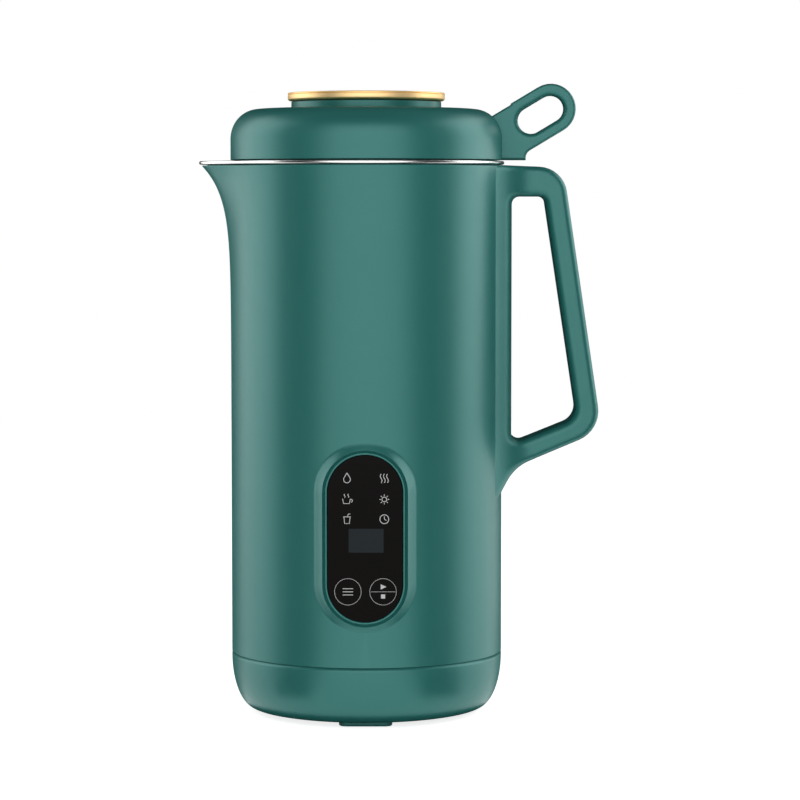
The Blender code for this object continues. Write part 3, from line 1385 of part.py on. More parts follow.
def make_liner():
    """The lid's inner cover: a flange in the shell, a collar, and a plug with the seal's groove."""
    flange = BODY_RADIUS - LID_WALL - FIT_GAP
    foot = RIM_TOP - LINER_DEPTH
    groove_top = RIM_TOP - SEAL_GROOVE_DROP + SEAL_GROOVE_HEIGHT
    groove_low = RIM_TOP - SEAL_GROOVE_DROP
    groove = LINER_PLUG_RADIUS - SEAL_GROOVE_DEPTH
    inner = groove - LINER_WALL
    bolt_hole = LID_BOLT_RADIUS + FIT_GAP
    profile = [
        (flange, LINER_TOP),
        (flange, LINER_FLANGE_Z),
        (LINER_COLLAR_RADIUS, LINER_FLANGE_Z),
        (LINER_COLLAR_RADIUS, RIM_TOP - LID_GAP),
        (LINER_PLUG_RADIUS, RIM_Z - LID_GAP),
        (LINER_PLUG_RADIUS, groove_top),
        (groove, groove_top),
        (groove, groove_low),
        (LINER_PLUG_RADIUS, groove_low),
        (LINER_PLUG_RADIUS, foot),
        (inner, foot),
        (inner, LINER_FLANGE_Z),
        (bolt_hole, LINER_FLANGE_Z),
        (bolt_hole, LINER_TOP),
    ]
    liner = add_part("lid_liner", turned(profile), BLACK_PLASTIC, LID)
    slot_z = RIM_TOP - STRAINER_DROP
    half_width = STRAINER_SLOT_WIDTH / 2
    half_height = STRAINER_SLOT_HEIGHT / 2
    slot_end = LINER_PLUG_RADIUS / 2 - inner
    for k in range(STRAINER_SLOTS):
        y = (k - (STRAINER_SLOTS - 1) / 2) * STRAINER_PITCH
        low = (-BODY_RADIUS, y - half_width, slot_z - half_height)
        high = (slot_end, y + half_width, slot_z + half_height)
        cut(liner, block(low, high))


def make_seal():
    outer = CUP_RADIUS - SEAL_SQUEEZE_GAP
    inner = LINER_PLUG_RADIUS - SEAL_GROOVE_DEPTH + FIT_GAP
    low = RIM_TOP - SEAL_GROOVE_DROP + FIT_GAP
    high = low + SEAL_GROOVE_HEIGHT - 2 * FIT_GAP
    waist = (outer + LINER_PLUG_RADIUS) / 2
    profile = [
        (waist, high),
        (outer, (low + high) / 2),
        (waist, low),
        (inner, low),
        (inner, high),
    ]
    add_part("lid_seal", turned(profile), SILICONE, LID)


def loop_point(along, across):
    """A place in the loop's own tilted frame, whose origin is the round end's centre."""
    tilt = math.radians(LOOP_TILT)
    x = LOOP_X + along * math.cos(tilt) - across * math.sin(tilt)
    z = RIM_TOP + LOOP_RISE + along * math.sin(tilt) + across * math.cos(tilt)
    return x, z


def loop_outline():
    radius = LOOP_END_RADIUS
    tilt = math.radians(LOOP_TILT)
    under = loop_point(0, -radius)
    foot_z = under[1] - (under[0] - LOOP_FOOT_X) * math.tan(tilt)
    tail = loop_point(-LOOP_ARM, radius)
    return filleted(
        [
            (*tail, 0),
            (*loop_point(radius, radius), radius),
            (*loop_point(radius, -radius), radius),
            (LOOP_FOOT_X, foot_z, LOOP_FOOT_CURVE),
            (LOOP_FOOT_X, LID_Z, 0),
            (tail[0], LID_Z, 0),
        ]
    )


def slot_outline():
    radius = LOOP_SLOT_RADIUS
    ends = ((radius, radius), (radius, -radius), (-radius, -radius), (-radius, radius))
    corners = []
    for along, across in ends:
        reach = along if along > 0 else along - LOOP_SLOT_LENGTH
        corners.append((*loop_point(reach, across), radius))
    return filleted(corners)


def make_loop():
    mesh = upright(plate([loop_outline(), slot_outline()[::-1]], LOOP_DEPTH, LOOP_EDGE))
    loop = add_part("lid_loop", mesh, GREEN_PLASTIC, LID)
    dome = [(radius, z) for radius, z in lid_profile(FIT_GAP)]
    dome[-1] = (dome[-1][0], LID_Z - OVERRUN)
    cut(loop, turned([*dome, (0, LID_Z - OVERRUN)], BODY_STEPS * 2))
    magnet_x = (BODY_RADIUS + LOOP_FOOT_X) / 2
    top = LID_Z + MAGNET_LENGTH + 2 * FIT_GAP
    pocket = rod(MAGNET_RADIUS + FIT_GAP, LID_Z - OVERRUN, top)
    cut(loop, moved(pocket, (magnet_x, 0, 0)))
    magnet = rod(MAGNET_RADIUS, LID_Z + FIT_GAP, LID_Z + FIT_GAP + MAGNET_LENGTH)
    add_part("interlock_magnet", moved(magnet, (magnet_x, 0, 0)), BRIGHT_STEEL, LID)


def make_lid_cap():
    neck_z = LID_TOP + FIT_GAP
    neck_top = LID_TOP + NECK_HEIGHT
    bore = LID_BOLT_RADIUS + FIT_GAP
    bolt_top = neck_top - LID_BOLT_COVER
    neck = [
        (0, neck_top),
        (NECK_RADIUS, neck_top),
        (NECK_RADIUS, neck_z),
        (bore, neck_z),
        (bore, bolt_top),
        (0, bolt_top),
    ]
    add_part("cap_neck", turned(neck), GREEN_PLASTIC, LID)
    trim_z = neck_top + FIT_GAP
    trim_top = trim_z + TRIM_HEIGHT
    well = TRIM_RADIUS - TRIM_WALL
    trim = [
        (TRIM_RADIUS - TRIM_EDGE, trim_top),
        (TRIM_RADIUS, trim_top - TRIM_EDGE),
        (TRIM_RADIUS, trim_z + TRIM_EDGE),
        (TRIM_RADIUS - TRIM_EDGE, trim_z),
        (0, trim_z),
    ]
    well_wall = [(0, trim_z + TRIM_FLOOR), (well, trim_z + TRIM_FLOOR), (well, trim_top)]
    add_part("cap_trim_disc", turned_shell(trim, well_wall), GOLD, LID)
    insert_z = trim_z + TRIM_FLOOR + FIT_GAP
    insert = rod(well - FIT_GAP, insert_z, trim_top - INSERT_STAND, RING_STEPS)
    add_part("cap_insert", insert, GREEN_PLASTIC, LID)
    bolt = screw_mesh(
        LID_BOLT_HEAD_RADIUS, LID_BOLT_HEAD, LID_BOLT_RADIUS, bolt_top - LINER_FLANGE_Z
    )
    add_part("lid_bolt", moved(bolt, (0, 0, LINER_FLANGE_Z - FIT_GAP)), STEEL, LID)


clear_scene()
PARTS = new_collection("nut_milk_maker")
TOOLS = new_collection("joining_and_cutting_shapes")
BODY = new_frame("body_frame")
ROTOR = new_frame("rotor_axis")
LID = new_frame("lid_axis")

make_shell()
make_base_cover()
make_feet()
make_case_screws()
make_cup()
make_heater()
make_blade_seat()
make_chassis()
make_brackets()
make_brushes()
make_bearings()
make_stator()
make_field_coils()
make_armature()
make_commutator()
make_fan()
make_shaft()
make_blades()
make_panel()
make_power_board()
make_inlet()
make_handle()
make_handle_screws()
make_lid_shell()
make_liner()
make_seal()
make_loop()
make_lid_cap()
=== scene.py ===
"""Looks of the nut milk maker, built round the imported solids. Lengths are metres and +Z is up."""

import json
import math

import bmesh
import bpy
import numpy as np
from mathutils import Matrix, Vector
from mathutils.geometry import delaunay_2d_cdt


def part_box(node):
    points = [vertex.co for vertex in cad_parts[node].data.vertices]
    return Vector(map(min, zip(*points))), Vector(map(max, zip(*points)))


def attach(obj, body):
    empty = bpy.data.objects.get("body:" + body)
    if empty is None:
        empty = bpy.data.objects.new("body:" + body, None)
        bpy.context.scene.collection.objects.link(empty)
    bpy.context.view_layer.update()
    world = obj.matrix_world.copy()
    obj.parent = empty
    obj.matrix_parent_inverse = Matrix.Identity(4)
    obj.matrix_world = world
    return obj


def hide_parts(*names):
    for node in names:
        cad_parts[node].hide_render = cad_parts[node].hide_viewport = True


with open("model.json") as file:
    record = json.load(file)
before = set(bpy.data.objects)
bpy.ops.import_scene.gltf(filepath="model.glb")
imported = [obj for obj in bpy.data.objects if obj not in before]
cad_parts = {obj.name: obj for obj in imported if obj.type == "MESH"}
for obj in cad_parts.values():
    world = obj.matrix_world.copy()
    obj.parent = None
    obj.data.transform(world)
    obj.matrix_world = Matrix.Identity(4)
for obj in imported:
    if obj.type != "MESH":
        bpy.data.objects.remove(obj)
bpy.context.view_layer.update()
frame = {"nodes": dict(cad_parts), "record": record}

# The photograph shows the base reaching this much lower than its solid does
BASE_DROP = 0.0008

# Places taken from the solids
AXIS_X = (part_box("cap_neck")[0].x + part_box("cap_neck")[1].x) / 2
RIM_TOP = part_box("inner_cup")[1].z
CUP_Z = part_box("inner_cup")[0].z
SHELL_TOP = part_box("outer_shell")[1].z
SHELL_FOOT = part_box("outer_shell")[0].z
COVER_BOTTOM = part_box("bottom_cover")[0].z - BASE_DROP
LID_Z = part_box("lid_shell")[0].z
LID_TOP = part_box("lid_shell")[1].z
NECK_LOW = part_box("cap_neck")[0].z
NECK_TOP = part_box("cap_neck")[1].z
TRIM_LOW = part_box("cap_trim_disc")[0].z
TRIM_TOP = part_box("cap_trim_disc")[1].z
INSERT_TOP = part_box("cap_insert")[1].z

# Mesh settings
TURN_STEPS = 256
FILLET_STEPS = 8
ROW_COUNT = 44
ROW_BUNCHING = 2.2
ON_AXIS = 0.00001
NO_LENGTH = 1e-18
LEAST_CORNER_SHARE = 0.4
SHARP = math.radians(40)
FIT_GAP = 0.0003
SEAM_GAP = 0.0002

# Jug shell and lower cover
BODY_RADIUS = 0.0540
BODY_WALL = 0.0022
BODY_INNER = BODY_RADIUS - BODY_WALL
TOP_EDGE = 0.0006
SEAM_EDGE = 0.00010
COVER_TOP = SHELL_FOOT - SEAM_GAP
BASE_CORNER_WIDTH = 0.0090
BASE_CORNER_HEIGHT = 0.0210
BASE_FLOOR = 0.0030
CORNER_ROWS = 24
VENT_LENGTH = 0.0260
VENT_WIDTH = 0.0024
VENT_CORNER = VENT_WIDTH / 2.05
VENT_PITCH = 0.0065
VENT_COUNT = 5
LIP_RISE = 0.0029
LIP_WALL = 0.0015
LIP_ROOT = 0.0040
POST_RING = 0.0410
SCREW_WELL_RADIUS = 0.0032
SCREW_WELL_DEPTH = 0.0060
SCREW_WELL_STEPS = 32
POST_ANGLES = (90, 210, 330)

# Feet
FEET = {"foot_front": 270, "foot_rear_right": 30, "foot_rear_left": 150}
FOOT_RING = 0.0395
FOOT_WIDTH = 0.0070
FOOT_LENGTH = 0.0208
FOOT_CORNER = 0.0030
FOOT_EDGE = 0.0006
FOOT_EDGE_ANGLES = (0, 0.4, 0.8, 1.2, math.pi / 2)

# Spout
SPOUT_REACH = 0.0117
SPOUT_LIP_GAIN = 0.0026
SPOUT_FADE = 0.0120
SPOUT_SPREAD = math.radians(9.7)

# Cup
CUP_WALL = 0.0008
CUP_RADIUS = 0.0480
CUP_LOW_RADIUS = 0.0445
CUP_CORNER = 0.0065
CUP_STRAIGHT = 0.0180
CUP_HOLE = 0.0073
RIM_RADIUS = 0.0549
RIM_THICKNESS = 0.0014

# Control panel
PANEL_Z = 0.0748
LENS_WIDTH = 0.0290
LENS_HEIGHT = 0.0644
LENS_THICKNESS = 0.0018
LENS_EDGE = 0.0003
LENS_FACE = 0.0553
BOSS_FACE = 0.0555
BOSS_RING = 0.0016
BOSS_REACH = 0.0056
BOSS_TOP_SHARE = 0.90
BOSS_LOW_SHARE = 0.75
FLANK_START = 1.2
BOSS_BACK = 0.0529
BOSS_SINK = 0.00005
PANEL_SECTION = ((0.0001, 0.0004), (0.0003, 0.0001), (0.0007, 0.0001), (0.0013, 0.0010), (0.0020, 0.0))
INLET_SECTION = ((0.0003, 0.0003), (0.0008, 0.0), (0.0020, 0.0))
SECTION_ROWS = 5
STADIUM_STEPS = 48
FLANK_ROWS = 14

# Mains inlet
INLET_Z = 0.0460
INLET_WIDTH = 0.0300
INLET_HEIGHT = 0.0226
INLET_CORNER = 0.0030

# Handle
HANDLE_HALF = 0.0100
HANDLE_EDGE = 0.0026
HANDLE_ROOT_X = 0.0500
GRIP_EDGE = 0.0030
FLARE_END_X = 0.0663
FLARE_CURVE = 33
HANDLE_CORNERS = (
    (HANDLE_ROOT_X, 0.0015, 0),
    (0.0781, 0.0026, 0.0115),
    (0.0936, 0.1070, 0.0125),
    (0.0590, 0.1216, 0.0180),
    (HANDLE_ROOT_X, 0.1374, 0),
)
GRIP_CORNERS = (
    (0.0576, 0.0141, 0.0030),
    (0.0707, 0.0141, 0.0025),
    (0.0839, 0.1020, 0.0070),
    (0.0576, 0.1126, 0.0033),
)
GRID_STEP = 0.0011
GRID_CLEARANCE = 1.3

# Lid, cap and loop
LID_CORNER_WIDTH = 0.0110
LID_CORNER_HEIGHT = 0.0118
LID_WALL = 0.0022
LID_EDGE = 0.0003
LID_BOSS_RADIUS = 0.0070
BOLT_BORE_RADIUS = 0.0028
NECK_RADIUS = 0.0298
NECK_ROOF = 0.0010
CAP_EDGE = 0.0003
TRIM_RADIUS = 0.0312
TRIM_TOP_EDGE = 0.0003
TRIM_LOW_EDGE = 0.0010
TRIM_GROOVE_DROP = 0.00065
TRIM_GROOVE_HALF = 0.00018
TRIM_GROOVE_DEPTH = 0.00022
TRIM_FLOOR = 0.0012
WELL_RADIUS = 0.0284
LOOP_TILT = math.radians(30.9)
LOOP_X = 0.0732
LOOP_RISE = 0.0207
LOOP_END_RADIUS = 0.0099
LOOP_SLOT_RADIUS = 0.0052
LOOP_SLOT_LENGTH = 0.0092
LOOP_SLOT_ROUND_SHARE = 0.999
LOOP_HALF = 0.0050
LOOP_EDGE = 0.0011
LOOP_SLOT_EDGE = 0.0020
LOOP_ARM = 0.0300
LOOP_FOOT_X = 0.0633
LOOP_FOOT_CURVE = 0.0035
LOOP_STEP = 0.0004
LOOP_STEP_PLACE = 0.0127


def filleted(corners):
    """An outline through corners (x, y, fillet radius)."""
    outline = []
    for i, (x, y, radius) in enumerate(corners):
        here = Vector((x, y))
        if radius == 0:
            outline.append((x, y))
            continue
        back = (Vector(corners[i - 1][:2]) - here).normalized()
        ahead = (Vector(corners[(i + 1) % len(corners)][:2]) - here).normalized()
        half = back.angle(ahead) / 2
        centre = here + (back + ahead).normalized() * (radius / math.sin(half))
        first = here + back * (radius / math.tan(half)) - centre
        sweep = (math.pi - 2 * half) * (1 if back.cross(ahead) < 0 else -1)
        for k in range(FILLET_STEPS + 1):
            spoke = first.copy()
            spoke.rotate(Matrix.Rotation(sweep * k / FILLET_STEPS, 2))
            outline.append(tuple(centre + spoke))
    return [p for i, p in enumerate(outline) if math.dist(p, outline[i - 1]) > ON_AXIS]


def stadium(width, height):
    radius = width / 2
    rise = height / 2 - radius
    outline = []
    for side in (1, -1):
        for k in range(STADIUM_STEPS + 1):
            angle = math.pi * k / STADIUM_STEPS + (0 if side > 0 else math.pi)
            outline.append((radius * math.cos(angle), side * rise + radius * math.sin(angle)))
    return outline


def rounded_box(width, height, corner):
    w = width / 2
    h = height / 2
    return filleted([(w, h, corner), (-w, h, corner), (-w, -h, corner), (w, -h, corner)])


def quarter(radius, height, width, rise, upper):
    """A quarter ellipse from the straight side to the flat, as (radius, height)."""
    points = []
    for k in range(CORNER_ROWS + 1):
        angle = math.pi / 2 * k / CORNER_ROWS
        lift = rise * math.sin(angle)
        points.append((radius - width + width * math.cos(angle), height + (lift if upper else -lift)))
    return points


def finished_mesh(work, name):
    bmesh.ops.recalc_face_normals(work, faces=work.faces)
    mesh = bpy.data.meshes.new(name)
    work.to_mesh(mesh)
    work.free()
    mesh.shade_smooth()
    mesh.set_sharp_from_angle(angle=SHARP)
    return mesh


def turned(name, profile, closed=False, warp=None):
    """A profile of (radius, height) turned about the jug's axis; warp adds to a point's radius."""
    work = bmesh.new()
    rings = []
    for radius, height in profile:
        if radius < ON_AXIS:
            rings.append([work.verts.new((AXIS_X, 0, height))])
            continue
        ring = []
        for k in range(TURN_STEPS):
            angle = 2 * math.pi * k / TURN_STEPS
            reach = radius + (warp(angle, radius, height) if warp else 0)
            place = (AXIS_X + reach * math.cos(angle), reach * math.sin(angle), height)
            ring.append(work.verts.new(place))
        rings.append(ring)
    pairs = list(zip(rings, rings[1:]))
    if closed:
        pairs.append((rings[-1], rings[0]))
    for low, high in pairs:
        for k in range(TURN_STEPS):
            corners = (
                low[k % len(low)],
                low[(k + 1) % len(low)],
                high[(k + 1) % len(high)],
                high[k % len(high)],
            )
            face = list(dict.fromkeys(corners))
            if len(face) > 2:
                work.faces.new(face)
    return finished_mesh(work, name)


def lofted(name, rings, loop=False):
    """A skin through rings of equal point counts, joined into a loop or else capped at both ends."""
    work = bmesh.new()
    rows = [[work.verts.new(place) for place in ring] for ring in rings]
    pairs = list(zip(rows, rows[1:]))
    if loop:
        pairs.append((rows[-1], rows[0]))
    for row, following in pairs:
        for i in range(len(row)):
            work.faces.new((row[i - 1], row[i], following[i], following[i - 1]))
    if not loop:
        work.faces.new(rows[0])
        work.faces.new(rows[-1])
    return finished_mesh(work, name)


def prism(outline, near, far, middle_z):
    """An outline in x and z as a block between two depths, used to cut openings."""
    return lofted("cutter", [[(AXIS_X + x, y, middle_z + z) for x, z in outline] for y in (near, far)])


def upright(outline, low, high):
    """An outline in x and y as a block between two heights, used to cut openings."""
    return lofted("cutter", [[(x, y, z) for x, y in outline] for z in (low, high)])


def around_axis(degrees, radius):
    angle = math.radians(degrees)
    return AXIS_X + radius * math.cos(angle), radius * math.sin(angle)


def cut(obj, mesh):
    """Cut a mesh out of a piece and keep the result as the piece's own mesh."""
    tool = bpy.data.objects.new("cutter", mesh)
    bpy.context.scene.collection.objects.link(tool)
    step = obj.modifiers.new("Cut", "BOOLEAN")
    step.operation = "DIFFERENCE"
    step.object = tool
    bpy.context.view_layer.update()
    made = bpy.data.meshes.new_from_object(obj.evaluated_get(bpy.context.evaluated_depsgraph_get()))
    obj.modifiers.clear()
    obj.data = made
    bpy.data.objects.remove(tool)
    made.set_sharp_from_angle(angle=SHARP)


def add_piece(name, mesh, body, slot, *nodes, weighted=True):
    obj = bpy.data.objects.new(name, mesh)
    bpy.context.scene.collection.objects.link(obj)
    mesh.materials.clear()
    mesh.materials.append(LOOKS[slot])
    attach(obj, body)
    if nodes:
        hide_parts(*nodes)
    if weighted:
        normals = obj.modifiers.new("Normals", "WEIGHTED_NORMAL")
        normals.keep_sharp = True
    return obj


def spout_share(angle, height):
    """How much of the spout's reach a place has: all of it at the lip's middle, none far away."""
    away = math.atan2(math.sin(angle), -math.cos(angle))
    return math.exp(-max(0, SHELL_TOP - height) / SPOUT_FADE) / math.cosh(away / SPOUT_SPREAD)


# Materials
SHADE_DETAIL = 3.0
GRAIN_DETAIL = 2.0
SHADE_SCALE = 38
ROUGH_SCALE = 220
ROUGH_SPREAD = 0.035
PLASTIC_WEAR = 0.35
GRAIN_DEPTH = 0.000012
STAIN_SCALE = 60
METAL_WEAR = 0.5
WEAR_START = 0.52
WEAR_FULL = 0.62
BRIGHT_EDGE_SHARE = 1.12
LINE_LOW_SHARE = 0.75
LINE_HIGH_SHARE = 1.3
LINE_DEPTH = 0.000004

# Where a mix node has its sockets for colours
MIX_FIRST = 6
MIX_SECOND = 7
MIX_RESULT = 2


def node(tree, kind, inputs=None, **settings):
    made = tree.nodes.new(kind)
    for key, value in settings.items():
        setattr(made, key, value)
    for key, value in (inputs or {}).items():
        if isinstance(value, bpy.types.NodeSocket):
            tree.links.new(value, made.inputs[key])
        else:
            made.inputs[key].default_value = value
    return made


def new_look(name, roughness, metallic=0.0, specular=0.5):
    material = bpy.data.materials.new(name)
    material.use_nodes = True
    tree = material.node_tree
    shader = tree.nodes["Principled BSDF"]
    shader.inputs["Roughness"].default_value = roughness
    shader.inputs["Metallic"].default_value = metallic
    shader.inputs["Specular IOR Level"].default_value = specular
    place = tree.nodes.new("ShaderNodeTexCoord").outputs["Object"]
    return material, tree, shader, place


def varied(tree, place, scale, low, high):
    """Noise spread over a range of values."""
    noise = node(tree, "ShaderNodeTexNoise", {"Vector": place, "Scale": scale, "Detail": SHADE_DETAIL})
    spread = {"Value": noise.outputs["Fac"], "To Min": low, "To Max": high}
    return node(tree, "ShaderNodeMapRange", spread).outputs["Result"]


def mixed(tree, factor, first, second):
    first = (*first, 1) if isinstance(first, tuple) else first
    colours = {0: factor, MIX_FIRST: first, MIX_SECOND: (*second, 1)}
    return node(tree, "ShaderNodeMix", colours, data_type="RGBA").outputs[MIX_RESULT]


def worn_edges(tree, strength):
    """High on outward edges, scaled by strength."""
    pointed = node(tree, "ShaderNodeNewGeometry").outputs["Pointiness"]
    spread = {"Value": pointed, "From Min": WEAR_START, "From Max": WEAR_FULL, "To Max": strength}
    return node(tree, "ShaderNodeMapRange", spread).outputs["Result"]


def grained(tree, shader, place, scale, height):
    """Fine bumps of a real height, such as a moulded grain."""
    noise = node(tree, "ShaderNodeTexNoise", {"Vector": place, "Scale": scale, "Detail": GRAIN_DETAIL})
    bump = {"Height": noise.outputs["Fac"], "Strength": 1.0, "Distance": height}
    tree.links.new(node(tree, "ShaderNodeBump", bump).outputs["Normal"], shader.inputs["Normal"])


def moulded(name, colour, shade, edge, roughness, grain, specular=0.5, metallic=0.0):
    """Plastic or rubber: a slow change of shade, a fine grain and paler worn edges."""
    material, tree, shader, place = new_look(name, roughness, metallic, specular)
    body = mixed(tree, varied(tree, place, SHADE_SCALE, 0, 1), colour, shade)
    worn = mixed(tree, worn_edges(tree, PLASTIC_WEAR), body, edge)
    tree.links.new(worn, shader.inputs["Base Color"])
    rough = varied(tree, place, ROUGH_SCALE, roughness - ROUGH_SPREAD, roughness + ROUGH_SPREAD)
    tree.links.new(rough, shader.inputs["Roughness"])
    grained(tree, shader, place, grain, GRAIN_DEPTH)
    return material


def metal(name, colour, shade, roughness, lines):
    """Turned or drawn metal: fine lines round the axis, stains in its shade, brighter edges."""
    material, tree, shader, place = new_look(name, roughness, metallic=1.0)
    body = mixed(tree, varied(tree, place, STAIN_SCALE, 0, 1), colour, shade)
    bright = tuple(min(1.0, c * BRIGHT_EDGE_SHARE) for c in colour)
    worn = mixed(tree, worn_edges(tree, METAL_WEAR), body, bright)
    tree.links.new(worn, shader.inputs["Base Color"])
    centred = {0: place, 1: (AXIS_X, 0, 0)}
    off_axis = node(tree, "ShaderNodeVectorMath", centred, operation="SUBTRACT").outputs[0]
    flat = node(tree, "ShaderNodeVectorMath", {0: off_axis, 1: (1, 1, 0)}, operation="MULTIPLY").outputs[0]
    radius = node(tree, "ShaderNodeVectorMath", {0: flat}, operation="LENGTH").outputs["Value"]
    height = node(tree, "ShaderNodeSeparateXYZ", {0: place}).outputs["Z"]
    along = node(tree, "ShaderNodeMath", {0: radius, 1: height}, operation="ADD").outputs[0]
    grain = node(tree, "ShaderNodeTexNoise", {"W": along, "Scale": lines}, noise_dimensions="1D")
    low = roughness * LINE_LOW_SHARE
    spread = {"Value": grain.outputs["Fac"], "To Min": low, "To Max": roughness * LINE_HIGH_SHARE}
    rough = node(tree, "ShaderNodeMapRange", spread).outputs["Result"]
    tree.links.new(rough, shader.inputs["Roughness"])
    bump = {"Height": grain.outputs["Fac"], "Strength": 1.0, "Distance": LINE_DEPTH}
    tree.links.new(node(tree, "ShaderNodeBump", bump).outputs["Normal"], shader.inputs["Normal"])
    return material


LOOKS = {
    "green_plastic": moulded(
        "green_plastic", (0.024, 0.190, 0.171), (0.027, 0.199, 0.180), (0.050, 0.235, 0.214), 0.38, 5200,
        metallic=0.20,
    ),
    "brushed_steel": metal("brushed_steel", (0.74, 0.74, 0.73), (0.68, 0.68, 0.67), 0.24, 5200),
    "turned_steel": metal("turned_steel", (0.70, 0.70, 0.70), (0.62, 0.62, 0.62), 0.28, 3800),
    "rose_gold": metal("rose_gold", (0.95, 0.69, 0.34), (0.93, 0.66, 0.32), 0.48, 2600),
    "black_gloss": moulded(
        "black_gloss", (0.0036, 0.0028, 0.0022), (0.0042, 0.0033, 0.0027), (0.012, 0.011, 0.010), 0.10, 900,
        specular=0.05,
    ),
    "black_plastic": moulded(
        "black_plastic", (0.012, 0.012, 0.013), (0.016, 0.016, 0.017), (0.045, 0.045, 0.046), 0.48, 4200
    ),
    "white_plastic": moulded(
        "white_plastic", (0.75, 0.75, 0.72), (0.70, 0.70, 0.66), (0.80, 0.80, 0.78), 0.45, 4200
    ),
    "silicone": moulded("silicone", (0.52, 0.53, 0.51), (0.58, 0.59, 0.57), (0.66, 0.67, 0.65), 0.58, 3000),
    "display_grey": moulded(
        "display_grey", (0.020, 0.027, 0.032), (0.023, 0.030, 0.036), (0.030, 0.038, 0.044), 0.25, 900,
        specular=0.06,
    ),
    "circuit_board": moulded(
        "circuit_board", (0.015, 0.115, 0.045), (0.022, 0.140, 0.058), (0.30, 0.24, 0.12), 0.38, 2600
    ),
    "copper": metal("copper", (0.72, 0.30, 0.16), (0.60, 0.23, 0.11), 0.34, 2600),
    "lamination_steel": metal("lamination_steel", (0.24, 0.25, 0.26), (0.18, 0.19, 0.20), 0.50, 2000),
    "brass": metal("brass", (0.78, 0.58, 0.26), (0.68, 0.49, 0.21), 0.28, 3000),
    "carbon": moulded(
        "carbon", (0.028, 0.028, 0.028), (0.040, 0.040, 0.040), (0.08, 0.08, 0.08), 0.70, 3600
    ),
    "aluminium": metal("aluminium", (0.66, 0.67, 0.68), (0.58, 0.59, 0.60), 0.38, 3200),
    "glass_grey": moulded(
        "glass_grey", (0.26, 0.30, 0.29), (0.32, 0.36, 0.35), (0.45, 0.48, 0.47), 0.15, 900
    ),
    "panel_print": moulded(
        "panel_print", (0.80, 0.80, 0.79), (0.84, 0.84, 0.83), (0.88, 0.88, 0.88), 0.50, 2600,
        specular=0.2,
    ),
}


def dress_cad_nodes():
    for row in frame["record"]["subparts"]:
        mesh = frame["nodes"][row["node"]].data
        mesh.materials.clear()
        mesh.materials.append(LOOKS[row["material_slot"]])


# Jug
def rows_down(high, low):
    """Heights from high to low, closest together at the top, where the spout bends the wall."""
    return [high - (high - low) * (k / ROW_COUNT) ** ROW_BUNCHING for k in range(ROW_COUNT + 1)]


def make_shell():
    heights = rows_down(SHELL_TOP - TOP_EDGE, SHELL_FOOT + SEAM_EDGE)
    edge = filleted(
        [
            (BODY_RADIUS - 2 * TOP_EDGE, SHELL_TOP, 0),
            (BODY_RADIUS, SHELL_TOP, TOP_EDGE),
            (BODY_RADIUS, SHELL_FOOT, 0),
        ]
    )
    profile = edge[:-1] + [(BODY_RADIUS, z) for z in heights[1:]]
    profile += [(BODY_RADIUS - SEAM_EDGE, SHELL_FOOT), (BODY_INNER, SHELL_FOOT)]
    profile += [(BODY_INNER, z) for z in heights[::-1]] + [(BODY_INNER, SHELL_TOP)]

    def warp(angle, radius, height):
        return SPOUT_REACH * spout_share(angle, height)

    mesh = turned("jug_shell", profile, closed=True, warp=warp)
    shell = add_piece("jug_shell", mesh, "jug", "green_plastic", "outer_shell")
    window = stadium(LENS_WIDTH + 2 * BOSS_RING, LENS_HEIGHT + 2 * BOSS_RING)
    cut(shell, prism(window, -BOSS_FACE, -BODY_INNER + LENS_WIDTH / 2, PANEL_Z))
    opening = rounded_box(INLET_WIDTH, INLET_HEIGHT, INLET_CORNER)
    cut(shell, prism(opening, BOSS_FACE, BODY_INNER - INLET_WIDTH / 2, INLET_Z))
    shell.modifiers.new("Normals", "WEIGHTED_NORMAL").keep_sharp = True


def raised_rim(name, outline_at, middle_z, side, section):
    """A raised rim round an opening, which runs smoothly into the jug's round wall.

    section lists (distance from the opening's edge, depth below the rim's highest face).
    """

    def wall(x, radius):
        return math.sqrt(radius**2 - x**2)

    rings = []

    def add(offset, depth_of):
        rings.append([(AXIS_X + x, side * depth_of(x), middle_z + z) for x, z in outline_at(offset)])

    add(section[0][0], lambda x: wall(x, BOSS_BACK))
    for (offset, low), (following, high) in zip(section, section[1:]):
        for k in range(SECTION_ROWS):
            blend = 0.5 * (1 - math.cos(math.pi * k / SECTION_ROWS))
            depth = BOSS_FACE - low - (high - low) * blend
            add(offset + (following - offset) * k / SECTION_ROWS, lambda x, depth=depth: depth)
    crest = section[-1][0]
    for k in range(FLANK_ROWS + 1):
        # The flank falls from the crest to the wall along a cubic curve
        u = k / FLANK_ROWS
        share = 2 * u**3 - 3 * u**2 + 1 - FLANK_START * u * (1 - u) ** 2
        sink = BOSS_SINK * u**4
        ring = []
        for (x0, z0), (x1, z1) in zip(outline_at(crest), outline_at(BOSS_REACH)):
            upward = (z1 - z0) / (BOSS_REACH - crest)
            reach = u * (1 - (1 - (BOSS_TOP_SHARE if upward > 0 else BOSS_LOW_SHARE)) * upward**2)
            x = x0 + (x1 - x0) * reach
            round_wall = wall(x, BODY_RADIUS) - sink
            depth = round_wall + (BOSS_FACE - round_wall) * share
            ring.append((AXIS_X + x, side * depth, middle_z + z0 + (z1 - z0) * reach))
        rings.append(ring)
    rings.append([(x, side * wall(x - AXIS_X, BOSS_BACK), z) for x, y, z in rings[-1]])
    return lofted(name, rings, loop=True)


